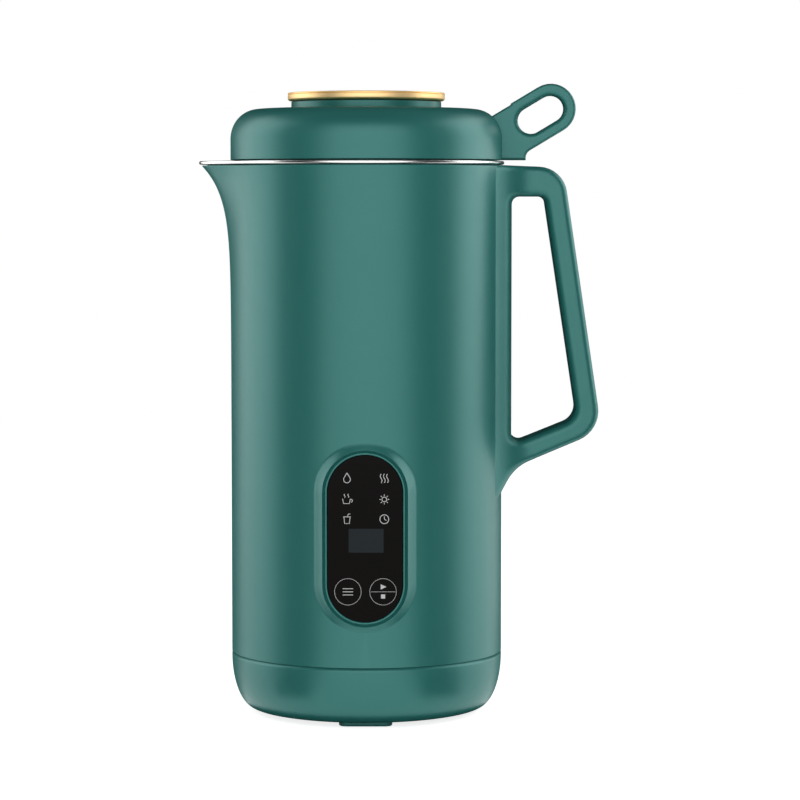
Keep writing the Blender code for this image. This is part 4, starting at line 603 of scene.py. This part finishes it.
def make_panel():
    def outline_at(offset):
        return stadium(LENS_WIDTH + 2 * offset, LENS_HEIGHT + 2 * offset)

    rim = raised_rim("panel_rim", outline_at, PANEL_Z, -1, PANEL_SECTION)
    add_piece("panel_rim", rim, "jug", "green_plastic")
    back = LENS_FACE - LENS_THICKNESS
    rings = [[(AXIS_X + x, -back, PANEL_Z + z) for x, z in outline_at(0)]]
    steps = FILLET_STEPS // 2
    for k in range(steps + 1):
        angle = math.pi / 2 * k / steps
        depth = LENS_FACE - LENS_EDGE * (1 - math.sin(angle))
        offset = -LENS_EDGE * (1 - math.cos(angle))
        rings.append([(AXIS_X + x, -depth, PANEL_Z + z) for x, z in outline_at(offset)])
    add_piece("panel_glass", lofted("panel_glass", rings), "jug", "black_gloss", "panel_lens")


def make_inlet_rim():
    def outline_at(offset):
        return rounded_box(INLET_WIDTH + 2 * offset, INLET_HEIGHT + 2 * offset, INLET_CORNER + offset)

    rim = raised_rim("inlet_rim", outline_at, INLET_Z, 1, INLET_SECTION)
    add_piece("inlet_rim", rim, "jug", "green_plastic")


def make_cup():
    low = CUP_Z + CUP_WALL + CUP_CORNER
    straight = RIM_TOP - CUP_STRAIGHT
    rim_z = RIM_TOP - RIM_THICKNESS

    def radius_at(z):
        share = min(1, max(0, (z - low) / (straight - low)))
        return CUP_LOW_RADIUS + (CUP_RADIUS - CUP_LOW_RADIUS) * share

    def corner(radius, centre_z, bend):
        points = []
        for k in range(FILLET_STEPS + 1):
            angle = math.pi / 2 * k / FILLET_STEPS
            points.append((radius - bend + bend * math.cos(angle), centre_z - bend * math.sin(angle)))
        return points

    heights = rows_down(rim_z - RIM_THICKNESS / 2, low + CUP_CORNER / 4)
    half = RIM_THICKNESS / 2
    bead = []
    for k in range(2 * FILLET_STEPS + 1):
        angle = math.pi / 2 - math.pi * k / (2 * FILLET_STEPS)
        bead.append((RIM_RADIUS - half + half * math.cos(angle), RIM_TOP - half + half * math.sin(angle)))
    profile = bead + [(CUP_RADIUS + 2 * CUP_WALL, rim_z)]
    profile += [(radius_at(z) + CUP_WALL, z) for z in heights]
    profile += corner(CUP_LOW_RADIUS + CUP_WALL, low, CUP_CORNER + CUP_WALL)
    profile += [(CUP_HOLE, CUP_Z), (CUP_HOLE, CUP_Z + CUP_WALL)]
    profile += corner(CUP_LOW_RADIUS, low, CUP_CORNER)[::-1]
    profile += [(radius_at(z), z) for z in heights[::-1]]
    profile += [
        (CUP_RADIUS, RIM_TOP - half),
        (CUP_RADIUS + half / 2, RIM_TOP - half / 4),
        (CUP_RADIUS + CUP_WALL, RIM_TOP),
    ]

    def warp(angle, radius, height):
        span = BODY_RADIUS - CUP_RADIUS - CUP_WALL
        share = min(1, max(0, (radius - CUP_RADIUS - CUP_WALL) / span))
        reach = SPOUT_REACH + SPOUT_LIP_GAIN * (1 - share)
        return reach * spout_share(angle, height) if radius > CUP_LOW_RADIUS - CUP_CORNER else 0

    mesh = turned("steel_cup", profile, closed=True, warp=warp)
    add_piece("steel_cup", mesh, "jug", "brushed_steel", "inner_cup")


def make_base():
    corner_z = COVER_BOTTOM + BASE_CORNER_HEIGHT
    outer = quarter(BODY_RADIUS, corner_z, BASE_CORNER_WIDTH, BASE_CORNER_HEIGHT, False)
    rise = BASE_CORNER_HEIGHT - BASE_FLOOR
    inner = quarter(BODY_INNER, corner_z, BASE_CORNER_WIDTH, rise, False)
    lip = BODY_INNER - FIT_GAP
    lip_top = COVER_TOP + LIP_RISE
    profile = [(lip, lip_top), (lip, COVER_TOP), (BODY_RADIUS - SEAM_EDGE, COVER_TOP)]
    profile += outer + [(0, COVER_BOTTOM)]
    inside = [(0, COVER_BOTTOM + BASE_FLOOR)] + inner[:0:-1]
    inside += [(BODY_INNER, COVER_TOP - LIP_ROOT), (lip - LIP_WALL, COVER_TOP), (lip - LIP_WALL, lip_top)]
    mesh = turned("base_cover", profile + inside, closed=True)
    cover = add_piece("base_cover", mesh, "jug", "green_plastic", "bottom_cover")
    below = COVER_BOTTOM - BASE_FLOOR
    for k in range(VENT_COUNT):
        y = (k - (VENT_COUNT - 1) / 2) * VENT_PITCH
        slot = [(AXIS_X + x, y + v) for x, v in rounded_box(VENT_LENGTH, VENT_WIDTH, VENT_CORNER)]
        cut(cover, upright(slot, below, COVER_BOTTOM + 2 * BASE_FLOOR))
    for degrees in POST_ANGLES:
        x0, y0 = around_axis(degrees, POST_RING)
        well = []
        for k in range(SCREW_WELL_STEPS):
            turn = 2 * math.pi * k / SCREW_WELL_STEPS
            well.append((x0 + SCREW_WELL_RADIUS * math.cos(turn), y0 + SCREW_WELL_RADIUS * math.sin(turn)))
        cut(cover, upright(well, below, COVER_BOTTOM + SCREW_WELL_DEPTH))
    cover.modifiers.new("Normals", "WEIGHTED_NORMAL").keep_sharp = True


# Handle and loop
def distances(points, lines):
    """Each point's distance to the nearest of several polylines."""
    best = np.full(len(points), np.inf)
    for line in lines:
        for a, b in zip(line, line[1:]):
            a = np.array(a)
            along = np.array(b) - a
            share = np.clip(((points - a) @ along) / max(along @ along, NO_LENGTH), 0, 1)
            gap = points - a - share[:, None] * along
            best = np.minimum(best, np.hypot(gap[:, 0], gap[:, 1]))
    return best


def within(points, polygon):
    """Whether each point lies inside the polygon."""
    inside = np.zeros(len(points), bool)
    for (ax, az), (bx, bz) in zip(polygon, polygon[1:] + polygon[:1]):
        crosses = (az > points[:, 1]) != (bz > points[:, 1])
        slope = (bx - ax) / (bz - az) if bz != az else 0
        inside ^= crosses & (points[:, 0] < ax + slope * (points[:, 1] - az))
    return inside


def inset(outline, distance):
    """The outline moved to its left by a distance, corner by corner."""
    moved = []
    for i, (x, z) in enumerate(outline):
        before = Vector(outline[i - 1])
        here = Vector((x, z))
        after = Vector(outline[(i + 1) % len(outline)])
        first = (here - before).normalized()
        second = (after - here).normalized()
        normal = Vector((-first.y - second.y, first.x + second.x)).normalized()
        scale = max(LEAST_CORNER_SHARE, normal.dot(Vector((-first.y, first.x))))
        moved.append(tuple(here + normal * (distance / scale)))
    return moved


def densely(outline, step):
    """The outline with points added so that none are further apart than a step."""
    points = []
    for i, here in enumerate(outline):
        after = outline[(i + 1) % len(outline)]
        count = max(1, math.ceil(math.dist(here, after) / step))
        for k in range(count):
            points.append(tuple(here[a] + (after[a] - here[a]) * k / count for a in (0, 1)))
    return points


def area(outline):
    return sum(a[0] * b[1] - b[0] * a[1] for a, b in zip(outline, outline[1:] + outline[:1])) / 2


def filled(outer, hole, rims, edges, step):
    """Points and faces between outer and hole, with rows of points where the rims are rounded."""
    count = len(outer)
    points = list(outer) + list(hole)
    links = [(i, (i + 1) % count) for i in range(count)]
    links += [(count + i, count + (i + 1) % len(hole)) for i in range(len(hole))]
    rim_count = len(points)
    for k in range(1, FILLET_STEPS + 2):
        angle = math.pi / 2 * min(k, FILLET_STEPS) / FILLET_STEPS
        share = 1 - math.cos(angle) + (k > FILLET_STEPS) / FILLET_STEPS
        points += inset(outer, edges[0] * share) + inset(hole, edges[1] * share)
    grid_start = len(points)
    lows = [min(p[a] for p in outer) for a in (0, 1)]
    highs = [max(p[a] for p in outer) for a in (0, 1)]
    for i in range(int((highs[0] - lows[0]) / step) + 1):
        for j in range(int((highs[1] - lows[1]) / step) + 1):
            points.append((lows[0] + i * step, lows[1] + j * step))
    spots = np.array(points)
    clear = np.array([distances(spots, [rim]) > edge * GRID_CLEARANCE for rim, edge in zip(rims, edges)])
    keep = within(spots, outer) & ~within(spots, hole)
    keep[grid_start:] &= clear.all(axis=0)[grid_start:]
    keep[:rim_count] = True
    flat = [Vector(points[i]) for i in np.nonzero(keep)[0]]
    result = delaunay_2d_cdt(flat, links, [], 0, ON_AXIS / 10)
    spots = np.array([tuple(v) for v in result[0]])
    faces = [tuple(f) for f in result[2]]
    middles = np.array([spots[list(f)].mean(0) for f in faces])
    good = within(middles, outer) & ~within(middles, hole)
    return spots, [f for f, ok in zip(faces, good) if ok]


def slab(name, outer, hole, open_x, half_at, edges, step):
    """A flat-sided body with rounded edges, symmetric about y = 0.

    outer and hole are outlines in x and z, half_at gives half the thickness at a place, edges gives the
    rounding outside and round the hole, and no edge is rounded on the side x = open_x, which lies
    inside the piece that the body grows from.
    """
    outer = densely(outer if area(outer) > 0 else outer[::-1], step)
    hole = densely(hole if area(hole) < 0 else hole[::-1], step)
    count = len(outer)
    start = next(i for i in range(count) if outer[i][0] < open_x + ON_AXIS < outer[(i + 1) % count][0])
    around = outer[start:] + outer[:start]
    free = [p for p in around if p[0] > open_x + ON_AXIS]
    after = around[1 + len(free)]
    rims = ([around[0], *free, after], hole + hole[:1])
    spots, faces = filled(outer, hole, rims, edges, step)
    drops = np.zeros(len(spots))
    for rim, edge in zip(rims, edges):
        reach = np.minimum(edge, distances(spots, [rim]))
        drops = np.maximum(drops, edge - np.sqrt(np.maximum(0, edge**2 - (edge - reach) ** 2)))
    work = bmesh.new()
    front, back = [], []
    for (x, z), drop in zip(spots, drops):
        half = half_at(x, z) - drop
        front.append(work.verts.new((AXIS_X + x, -half, z)))
        back.append(work.verts.new((AXIS_X + x, half, z)))
    uses = {}
    for f in faces:
        work.faces.new([front[i] for i in f])
        work.faces.new([back[i] for i in f[::-1]])
        for a, b in zip(f, f[1:] + f[:1]):
            key = (min(a, b), max(a, b))
            uses[key] = uses.get(key, 0) + 1
    for (a, b), count in uses.items():
        if count == 1:
            work.faces.new((front[a], front[b], back[b], back[a]))
    loose = [v for v in work.verts if not v.link_faces]
    bmesh.ops.delete(work, geom=loose, context="VERTS")
    return finished_mesh(work, name)


def make_handle():
    def below_rim(corners):
        return filleted([(x, RIM_TOP - drop, radius) for x, drop, radius in corners])

    def half_at(x, z):
        return HANDLE_HALF + FLARE_CURVE * max(0, FLARE_END_X - x) ** 2

    outer = below_rim(HANDLE_CORNERS)
    grip = below_rim(GRIP_CORNERS)
    mesh = slab("handle_body", outer, grip, HANDLE_ROOT_X, half_at, (HANDLE_EDGE, GRIP_EDGE), GRID_STEP)
    add_piece("handle_body", mesh, "jug", "green_plastic", "handle")


def make_loop():
    def place(along, across):
        x = LOOP_X + along * math.cos(LOOP_TILT) - across * math.sin(LOOP_TILT)
        return x, RIM_TOP + LOOP_RISE + along * math.sin(LOOP_TILT) + across * math.cos(LOOP_TILT)

    radius = LOOP_END_RADIUS
    under = place(0, -radius)
    foot_z = under[1] - (under[0] - LOOP_FOOT_X) * math.tan(LOOP_TILT)
    tail = place(-LOOP_ARM, radius - LOOP_STEP)
    outer = filleted(
        [
            (*tail, 0),
            (*place(-LOOP_STEP_PLACE, radius - LOOP_STEP), 0),
            (*place(-LOOP_STEP_PLACE + LOOP_STEP, radius), 0),
            (*place(radius, radius), radius),
            (*place(radius, -radius), radius),
            (LOOP_FOOT_X, foot_z, LOOP_FOOT_CURVE),
            (LOOP_FOOT_X, LID_Z, 0),
            (tail[0], LID_Z, 0),
        ]
    )
    r = LOOP_SLOT_RADIUS
    ends = ((r, r), (r, -r), (-r - LOOP_SLOT_LENGTH, -r), (-r - LOOP_SLOT_LENGTH, r))
    slot = filleted([(*place(along, across), r * LOOP_SLOT_ROUND_SHARE) for along, across in ends])

    def half_at(x, z):
        return LOOP_HALF

    mesh = slab("cap_loop", outer, slot, tail[0], half_at, (LOOP_EDGE, LOOP_SLOT_EDGE), GRID_STEP)
    loop = add_piece("cap_loop", mesh, "lid", "green_plastic", "lid_loop")
    mid_wall = BODY_RADIUS - LID_WALL / 2
    rise = LID_CORNER_HEIGHT - LID_WALL / 2
    dome = quarter(mid_wall, LID_TOP - LID_CORNER_HEIGHT, LID_CORNER_WIDTH, rise, True)
    core = [(0, LID_Z - LID_WALL), (mid_wall, LID_Z - LID_WALL)] + dome
    cut(loop, turned("cutter", core + [(0, dome[-1][1])]))
    loop.modifiers.new("Normals", "WEIGHTED_NORMAL").keep_sharp = True


# Lid and cap
def make_lid():
    corner_z = LID_TOP - LID_CORNER_HEIGHT
    outer = quarter(BODY_RADIUS, corner_z, LID_CORNER_WIDTH, LID_CORNER_HEIGHT, True)
    inner = quarter(BODY_RADIUS - LID_WALL, corner_z, LID_CORNER_WIDTH, LID_CORNER_HEIGHT - LID_WALL, True)
    boss_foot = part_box("lid_liner")[1].z + FIT_GAP
    edge = filleted(
        [
            (BODY_RADIUS, corner_z, 0),
            (BODY_RADIUS, LID_Z, LID_EDGE),
            (BODY_RADIUS - LID_WALL, LID_Z, 0),
        ]
    )
    profile = [(BOLT_BORE_RADIUS, LID_TOP)] + outer[::-1] + edge[1:] + inner
    profile += [(LID_BOSS_RADIUS, LID_TOP - LID_WALL), (LID_BOSS_RADIUS, boss_foot)]
    profile.append((BOLT_BORE_RADIUS, boss_foot))
    add_piece("lid_dome", turned("lid_dome", profile, closed=True), "lid", "green_plastic", "lid_shell")


def make_cap():
    roof = NECK_TOP - NECK_ROOF
    neck = filleted(
        [
            (0, NECK_TOP, 0),
            (NECK_RADIUS, NECK_TOP, CAP_EDGE),
            (NECK_RADIUS, NECK_LOW, CAP_EDGE),
            (BOLT_BORE_RADIUS, NECK_LOW, 0),
            (BOLT_BORE_RADIUS, roof, 0),
            (0, roof, 0),
        ]
    )
    add_piece("cap_collar", turned("cap_collar", neck), "lid", "green_plastic", "cap_neck")
    floor = TRIM_LOW + TRIM_FLOOR
    groove = TRIM_TOP - TRIM_GROOVE_DROP
    ring = filleted(
        [
            (0, TRIM_LOW, 0),
            (TRIM_RADIUS, TRIM_LOW, TRIM_LOW_EDGE),
            (TRIM_RADIUS, groove - TRIM_GROOVE_HALF, 0),
            (TRIM_RADIUS - TRIM_GROOVE_DEPTH, groove, 0),
            (TRIM_RADIUS, groove + TRIM_GROOVE_HALF, 0),
            (TRIM_RADIUS, TRIM_TOP, TRIM_TOP_EDGE),
            (WELL_RADIUS, TRIM_TOP, TRIM_TOP_EDGE),
            (WELL_RADIUS, floor, 0),
            (0, floor, 0),
        ]
    )
    add_piece("cap_trim", turned("cap_trim", ring), "lid", "rose_gold", "cap_trim_disc")
    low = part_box("cap_insert")[0].z
    radius = WELL_RADIUS - FIT_GAP
    plate = filleted([(0, low, 0), (radius, low, 0), (radius, INSERT_TOP, CAP_EDGE), (0, INSERT_TOP, 0)])
    add_piece("cap_plate", turned("cap_plate", plate), "lid", "green_plastic", "cap_insert")


def make_feet():
    for name, degrees in FEET.items():
        turn = math.radians(degrees)
        centre_x, centre_y = around_axis(degrees, FOOT_RING)
        levels = [(FOOT_EDGE * (1 - math.sin(a)), FOOT_EDGE * (1 - math.cos(a))) for a in FOOT_EDGE_ANGLES]
        levels.append((0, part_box(name)[1].z))
        rings = []
        for inward, z in levels:
            ring = []
            width = FOOT_WIDTH - 2 * inward
            length = FOOT_LENGTH - 2 * inward
            for x, y in rounded_box(width, length, FOOT_CORNER - inward):
                turned_x = x * math.cos(turn) - y * math.sin(turn)
                turned_y = x * math.sin(turn) + y * math.cos(turn)
                ring.append((centre_x + turned_x, centre_y + turned_y, z))
            rings.append(ring)
        add_piece(name + "_pad", lofted(name, rings), "jug", "green_plastic", name)


# Printed marks on the lens
MARK_DEPTH = 0.00002
STROKE = 0.00026
RING_STROKE = 0.00013
KEY_Z = 0.0544
KEY_RADIUS = 0.0051
MENU_KEY_X = -0.0066
START_KEY_X = 0.0069
DISPLAY_X = 0.0004
DISPLAY_Z = 0.0741
DISPLAY_WIDTH = 0.0134
DISPLAY_HEIGHT = 0.0092
DISPLAY_CORNER = 0.0003
MARK_COLUMNS = (-0.0069, 0.0074)
MARK_ROWS = (0.0981, 0.0900, 0.0824)
MARK_UNIT = 0.0001
ARC_STEPS = 40
CIRCLE_STEPS = 64
WAVE_STEPS = 16
EAR_STEPS = 16


def ribbon(points, width=STROKE, closed=False):
    """A line as a flat outline: left side out, right side back; a closed line gives two outlines."""
    left, right = [], []
    count = len(points)
    for i, here in enumerate(points):
        before = points[i - 1] if closed or i else here
        after = points[(i + 1) % count] if closed or i < count - 1 else here
        heading = Vector((after[0] - before[0], after[1] - before[1])).normalized()
        side = Vector((-heading.y, heading.x)) * width / 2
        left.append((here[0] + side.x, here[1] + side.y))
        right.append((here[0] - side.x, here[1] - side.y))
    return left, right


def arc(cx, cz, radius, start, end, steps=ARC_STEPS):
    points = []
    for k in range(steps + 1):
        angle = math.radians(start + (end - start) * k / steps)
        points.append((cx + radius * math.cos(angle), cz + radius * math.sin(angle)))
    return points


def add_strip(work, left, right, closed=False):
    count = len(left)
    front = -LENS_FACE - MARK_DEPTH
    back = -LENS_FACE
    rows = []
    for points, y in ((left, front), (right, front), (right, back), (left, back)):
        rows.append([work.verts.new((AXIS_X + x, y, z)) for x, z in points])
    for i in range(count if closed else count - 1):
        j = (i + 1) % count
        for a, b in zip(rows, rows[1:] + rows[:1]):
            work.faces.new((a[i], a[j], b[j], b[i]))
    if not closed:
        work.faces.new([row[0] for row in rows])
        work.faces.new([row[-1] for row in rows[::-1]])


def add_line(work, points, width=STROKE):
    add_strip(work, *ribbon(points, width))


def add_circle(work, cx, cz, radius, width=STROKE):
    ring = arc(cx, cz, radius, 0, 360 - 360 / CIRCLE_STEPS, CIRCLE_STEPS - 1)
    add_strip(work, *ribbon(ring, width, closed=True), closed=True)


def add_filled(work, points):
    front = [work.verts.new((AXIS_X + x, -LENS_FACE - MARK_DEPTH, z)) for x, z in points]
    back = [work.verts.new((AXIS_X + x, -LENS_FACE, z)) for x, z in points]
    work.faces.new(front)
    work.faces.new(back[::-1])
    for i in range(len(points)):
        work.faces.new((front[i - 1], front[i], back[i], back[i - 1]))


def wave(x, z, height, swing):
    shares = [k / WAVE_STEPS for k in range(WAVE_STEPS + 1)]
    return [(x + swing * math.sin(2 * math.pi * share), z + height * (share - 0.5)) for share in shares]


def make_marks():
    """Six generic pictograms, the two touch keys and the display's window.

    The pictograms are drawn in units of a tenth of a millimetre round the place where each stands.
    """
    work = bmesh.new()
    left, right = MARK_COLUMNS
    rows = MARK_ROWS
    u = MARK_UNIT
    # A drop
    x, z = left, rows[0]
    bulb = arc(x, z - 4 * u, 13 * u, -215, 35)
    add_line(work, [bulb[0], (x, z + 21 * u)])
    add_line(work, bulb)
    add_line(work, [bulb[-1], (x, z + 21 * u)])
    # Rising heat
    for k in (-1, 0, 1):
        add_line(work, wave(right + 12 * u * k, rows[0], 34 * u, 3.4 * u))
    # A cup with steam
    x, z = left, rows[1]
    low, high = z - 16 * u, z + 3 * u
    add_line(work, [(x - 17 * u, high), (x - 13 * u, low), (x + 9 * u, low), (x + 13 * u, high)])
    add_line(work, arc(x + 14.5 * u, z - 5 * u, 6 * u, -80, 80, EAR_STEPS))
    for k in (-1, 1):
        add_line(work, wave(x - 2 * u + 7 * u * k, z + 14 * u, 14 * u, 1.8 * u))
    # A sun
    x, z = right, rows[1]
    add_circle(work, x, z, 9 * u)
    for k in range(8):
        a = math.radians(45 * k)
        add_line(work, [(x + r * u * math.cos(a), z + r * u * math.sin(a)) for r in (13, 19)])
    # A tumbler with a straw
    x, z = left, rows[2]
    low, high = z - 17 * u, z + 9 * u
    add_line(work, [(x - 12 * u, high), (x - 9 * u, low), (x + 9 * u, low), (x + 12 * u, high)])
    add_line(work, [(x - 15 * u, z + 9 * u), (x + 15 * u, z + 9 * u)])
    add_line(work, [(x + 1 * u, z + 9 * u), (x + 5 * u, z + 20 * u), (x + 13 * u, z + 20 * u)])
    # A clock
    x, z = right, rows[2]
    add_circle(work, x, z, 17 * u)
    add_line(work, [(x, z + 11 * u), (x, z), (x + 8 * u, z - 5 * u)])
    # The menu key and the divided start key
    z = KEY_Z
    x = MENU_KEY_X
    add_circle(work, x, z, KEY_RADIUS, RING_STROKE)
    for k in (-1, 0, 1):
        add_line(work, [(x - 20 * u, z + 12 * u * k), (x + 20 * u, z + 12 * u * k)])
    x = START_KEY_X
    add_circle(work, x, z, KEY_RADIUS, RING_STROKE)
    add_line(work, [(x - 48 * u, z), (x + 48 * u, z)], RING_STROKE)
    add_filled(work, [(x - 9 * u, z + 9 * u), (x + 13 * u, z + 19 * u), (x - 9 * u, z + 29 * u)])
    low, high = z - 26 * u, z - 10 * u
    add_filled(work, [(x - 8 * u, low), (x + 8 * u, low), (x + 8 * u, high), (x - 8 * u, high)])
    mesh = finished_mesh(work, "panel_marks")
    marks = add_piece("panel_marks", mesh, "jug", "white_plastic", weighted=False)
    marks.data.materials[0] = LOOKS["panel_print"]
    window = rounded_box(DISPLAY_WIDTH, DISPLAY_HEIGHT, DISPLAY_CORNER)
    place = [(AXIS_X + DISPLAY_X + x, DISPLAY_Z + z) for x, z in window]
    rings = [[(x, y, z) for x, z in place] for y in (-LENS_FACE - MARK_DEPTH, -LENS_FACE)]
    add_piece("display_window", lofted("display_window", rings), "jug", "display_grey", weighted=False)


# Floor, light and camera
FLOOR_RADIUS = 1.60
FLOOR_GLOW = 0.80
WORLD_FILL = 0.19
TOP_CARD_GLOW = 0.08
CARD_RADIUS = 0.52
CARD_TOP = 0.70
SIDE_CARD_RADIUS = 0.28
# Foot and top of the dark card that paints the handle's shade into the jug's reflections beside the handle
SHADE_CARD_LOW = 0.09
SHADE_CARD_TOP = 0.21
FLAP_RADIUS = 0.068
# Radius of the dark disc under the jug, a painted shadow of the jug on the floor as reflections see it
FOOT_SHADOW_RADIUS = 0.051
CARD_STEPS = 60
CARD_COLUMNS = 16
FLOOR_Z = -0.00005
MATT = 0.9
FLOOR_COLOUR = (0.86, 0.86, 0.86, 1)
CARD_COLOUR = (0.01, 0.01, 0.01, 1)
WHITE = (1, 1, 1, 1)

# Directions round the jug are in degrees from the camera's side. An upright card has its first and last
# direction, its foot and its top, and a flap on the floor its outer and inner directions and inner radius.
UPRIGHT_CARDS = {
    "card_right": (36, 76, 0, CARD_TOP),
    "card_left": (-74, -36, 0, CARD_TOP),
    "card_back": (136, 235, 0, CARD_TOP),
    # A dark card at the handle's height: painted shade of the handle in the jug's reflections beside it
    "painted_handle_shade_card": (113, 136, SHADE_CARD_LOW, SHADE_CARD_TOP),
}
FLOOR_FLAPS = {
    "flap_right": (36, 76, 57, 31, FLAP_RADIUS),
    "flap_left": (-36, -74, -55, -31, FLAP_RADIUS),
    # The back flap is a painted shadow of the jug on the floor behind it, as reflections see it
    "painted_back_shadow_flap": (130, 240, 272, 88, FOOT_SHADOW_RADIUS),
}

# A softbox has its direction, distance, width, height and power.
SOFTBOXES = {
    "front_softbox": (0, 1.40, 1.75, 1.36, 8.1),
    "left_softbox": (-104, 1.30, 1.30, 1.5, 8.6),
    "right_softbox": (104, 1.30, 1.30, 1.5, 11.5),
}
CAMERA_RIGHT = 0.0134
CAMERA_DISTANCE = 1.2272
CAMERA_HEIGHT = 0.2057
CAMERA_DOWN = 3.785
CAMERA_LENS = 138.3
CAMERA_SENSOR = 36


def from_front(degrees, radius, height):
    """A place round the jug, turned from the camera's side."""
    angle = math.radians(degrees)
    return (AXIS_X + radius * math.sin(angle), -radius * math.cos(angle), height)


def add_lamp(name, degrees, radius, width, height, power):
    data = bpy.data.lights.new(name, "AREA")
    data.shape = "RECTANGLE"
    data.size = width
    data.size_y = height
    data.energy = power
    lamp = bpy.data.objects.new(name, data)
    lamp.location = from_front(degrees, radius, height / 2)
    lamp.rotation_euler = (math.radians(90), 0, math.radians(degrees))
    lamp.visible_camera = False
    bpy.context.scene.collection.objects.link(lamp)


def add_stage_mesh(name, mesh, material):
    obj = bpy.data.objects.new(name, mesh)
    mesh.materials.append(material)
    bpy.context.scene.collection.objects.link(obj)
    return obj


def add_card(name, mesh, material):
    """A card that only reflections show."""
    card = add_stage_mesh(name, mesh, material)
    card.visible_camera = False
    card.visible_diffuse = False
    card.visible_shadow = False


def stage_mesh(work):
    mesh = bpy.data.meshes.new("stage_mesh")
    work.to_mesh(mesh)
    work.free()
    return mesh


def curved_card(start, end, low, high):
    """An upright card bent round the jug between two directions."""
    work = bmesh.new()
    columns = []
    for k in range(CARD_COLUMNS + 1):
        degrees = start + (end - start) * k / CARD_COLUMNS
        columns.append([work.verts.new(from_front(degrees, SIDE_CARD_RADIUS, z)) for z in (low, high)])
    for left, right in zip(columns, columns[1:]):
        work.faces.new((left[0], right[0], right[1], left[1]))
    return stage_mesh(work)


def flat_card(height, *arcs):
    """A level card whose edge follows arcs, each as (first degrees, last degrees, radius)."""
    work = bmesh.new()
    edge = []
    for start, end, radius in arcs:
        for k in range(CARD_STEPS):
            degrees = start + (end - start) * k / CARD_STEPS
            edge.append(work.verts.new(from_front(degrees, radius, height)))
    work.faces.new(edge)
    return stage_mesh(work)


def glow_where_seen(tree, to_camera, otherwise):
    """to_camera for the camera, 1 for mirrors and glass, and another level for light on the object."""
    path = node(tree, "ShaderNodeLightPath").outputs
    mirrored = {0: path["Is Glossy Ray"], 1: path["Is Transmission Ray"]}
    bounced = node(tree, "ShaderNodeMath", mirrored, operation="MAXIMUM")
    plain = node(tree, "ShaderNodeMath", {0: path["Is Camera Ray"], 1: to_camera}, operation="MULTIPLY")
    seen = node(tree, "ShaderNodeMath", {0: bounced.outputs[0], 1: plain.outputs[0]}, operation="MAXIMUM")
    return node(tree, "ShaderNodeMath", {0: seen.outputs[0], 1: otherwise}, operation="MAXIMUM").outputs[0]


def card_look(name, glow):
    material, tree, shader, place = new_look(name, MATT, specular=0.0)
    shader.inputs["Base Color"].default_value = CARD_COLOUR
    shader.inputs["Emission Color"].default_value = WHITE
    shader.inputs["Emission Strength"].default_value = glow
    return material


def make_world():
    world = bpy.data.worlds.new("studio")
    bpy.context.scene.world = world
    world.use_nodes = True
    tree = world.node_tree
    tree.nodes["Background"].inputs["Color"].default_value = WHITE
    tree.links.new(glow_where_seen(tree, 1, WORLD_FILL), tree.nodes["Background"].inputs["Strength"])


def make_floor():
    pale, tree, shader, place = new_look("pale_floor", MATT, specular=0.0)
    shader.inputs["Base Color"].default_value = FLOOR_COLOUR
    shader.inputs["Emission Color"].default_value = WHITE
    tree.links.new(glow_where_seen(tree, FLOOR_GLOW, 0), shader.inputs["Emission Strength"])
    add_stage_mesh("floor", flat_card(FLOOR_Z, (0, 360, FLOOR_RADIUS)), pale)


def make_cards():
    dark = card_look("dark_card", 0)
    for name, (start, end, low, high) in UPRIGHT_CARDS.items():
        add_card(name, curved_card(start, end, low, high), dark)
    dim = card_look("dim_card", TOP_CARD_GLOW)
    add_card("card_top", flat_card(CARD_TOP, (0, 360, CARD_RADIUS)), dim)
    # A dark disc under the jug: a painted shadow on the floor, seen only in reflections
    add_card("painted_foot_shadow_card", flat_card(-FLOOR_Z, (0, 360, FOOT_SHADOW_RADIUS)), dark)
    for name, (start, end, back, front, inner) in FLOOR_FLAPS.items():
        flap = flat_card(-FLOOR_Z, (start, end, SIDE_CARD_RADIUS), (back, front, inner))
        add_card(name, flap, dark)


def make_camera():
    data = bpy.data.cameras.new("camera")
    data.lens = CAMERA_LENS
    data.sensor_width = CAMERA_SENSOR
    camera = bpy.data.objects.new("camera", data)
    camera.location = (AXIS_X + CAMERA_RIGHT, -CAMERA_DISTANCE, CAMERA_HEIGHT)
    camera.rotation_euler = (math.radians(90 - CAMERA_DOWN), 0, 0)
    bpy.context.scene.collection.objects.link(camera)
    bpy.context.scene.camera = camera


def make_stage():
    make_world()
    make_floor()
    make_cards()
    for name, (degrees, distance, width, height, power) in SOFTBOXES.items():
        add_lamp(name, degrees, distance, width, height, power)
    make_camera()
    bpy.context.scene.view_settings.view_transform = "Standard"


dress_cad_nodes()
make_shell()
make_panel()
make_inlet_rim()
make_cup()
make_base()
make_handle()
make_loop()
make_lid()
make_cap()
make_feet()
make_marks()
make_stage()
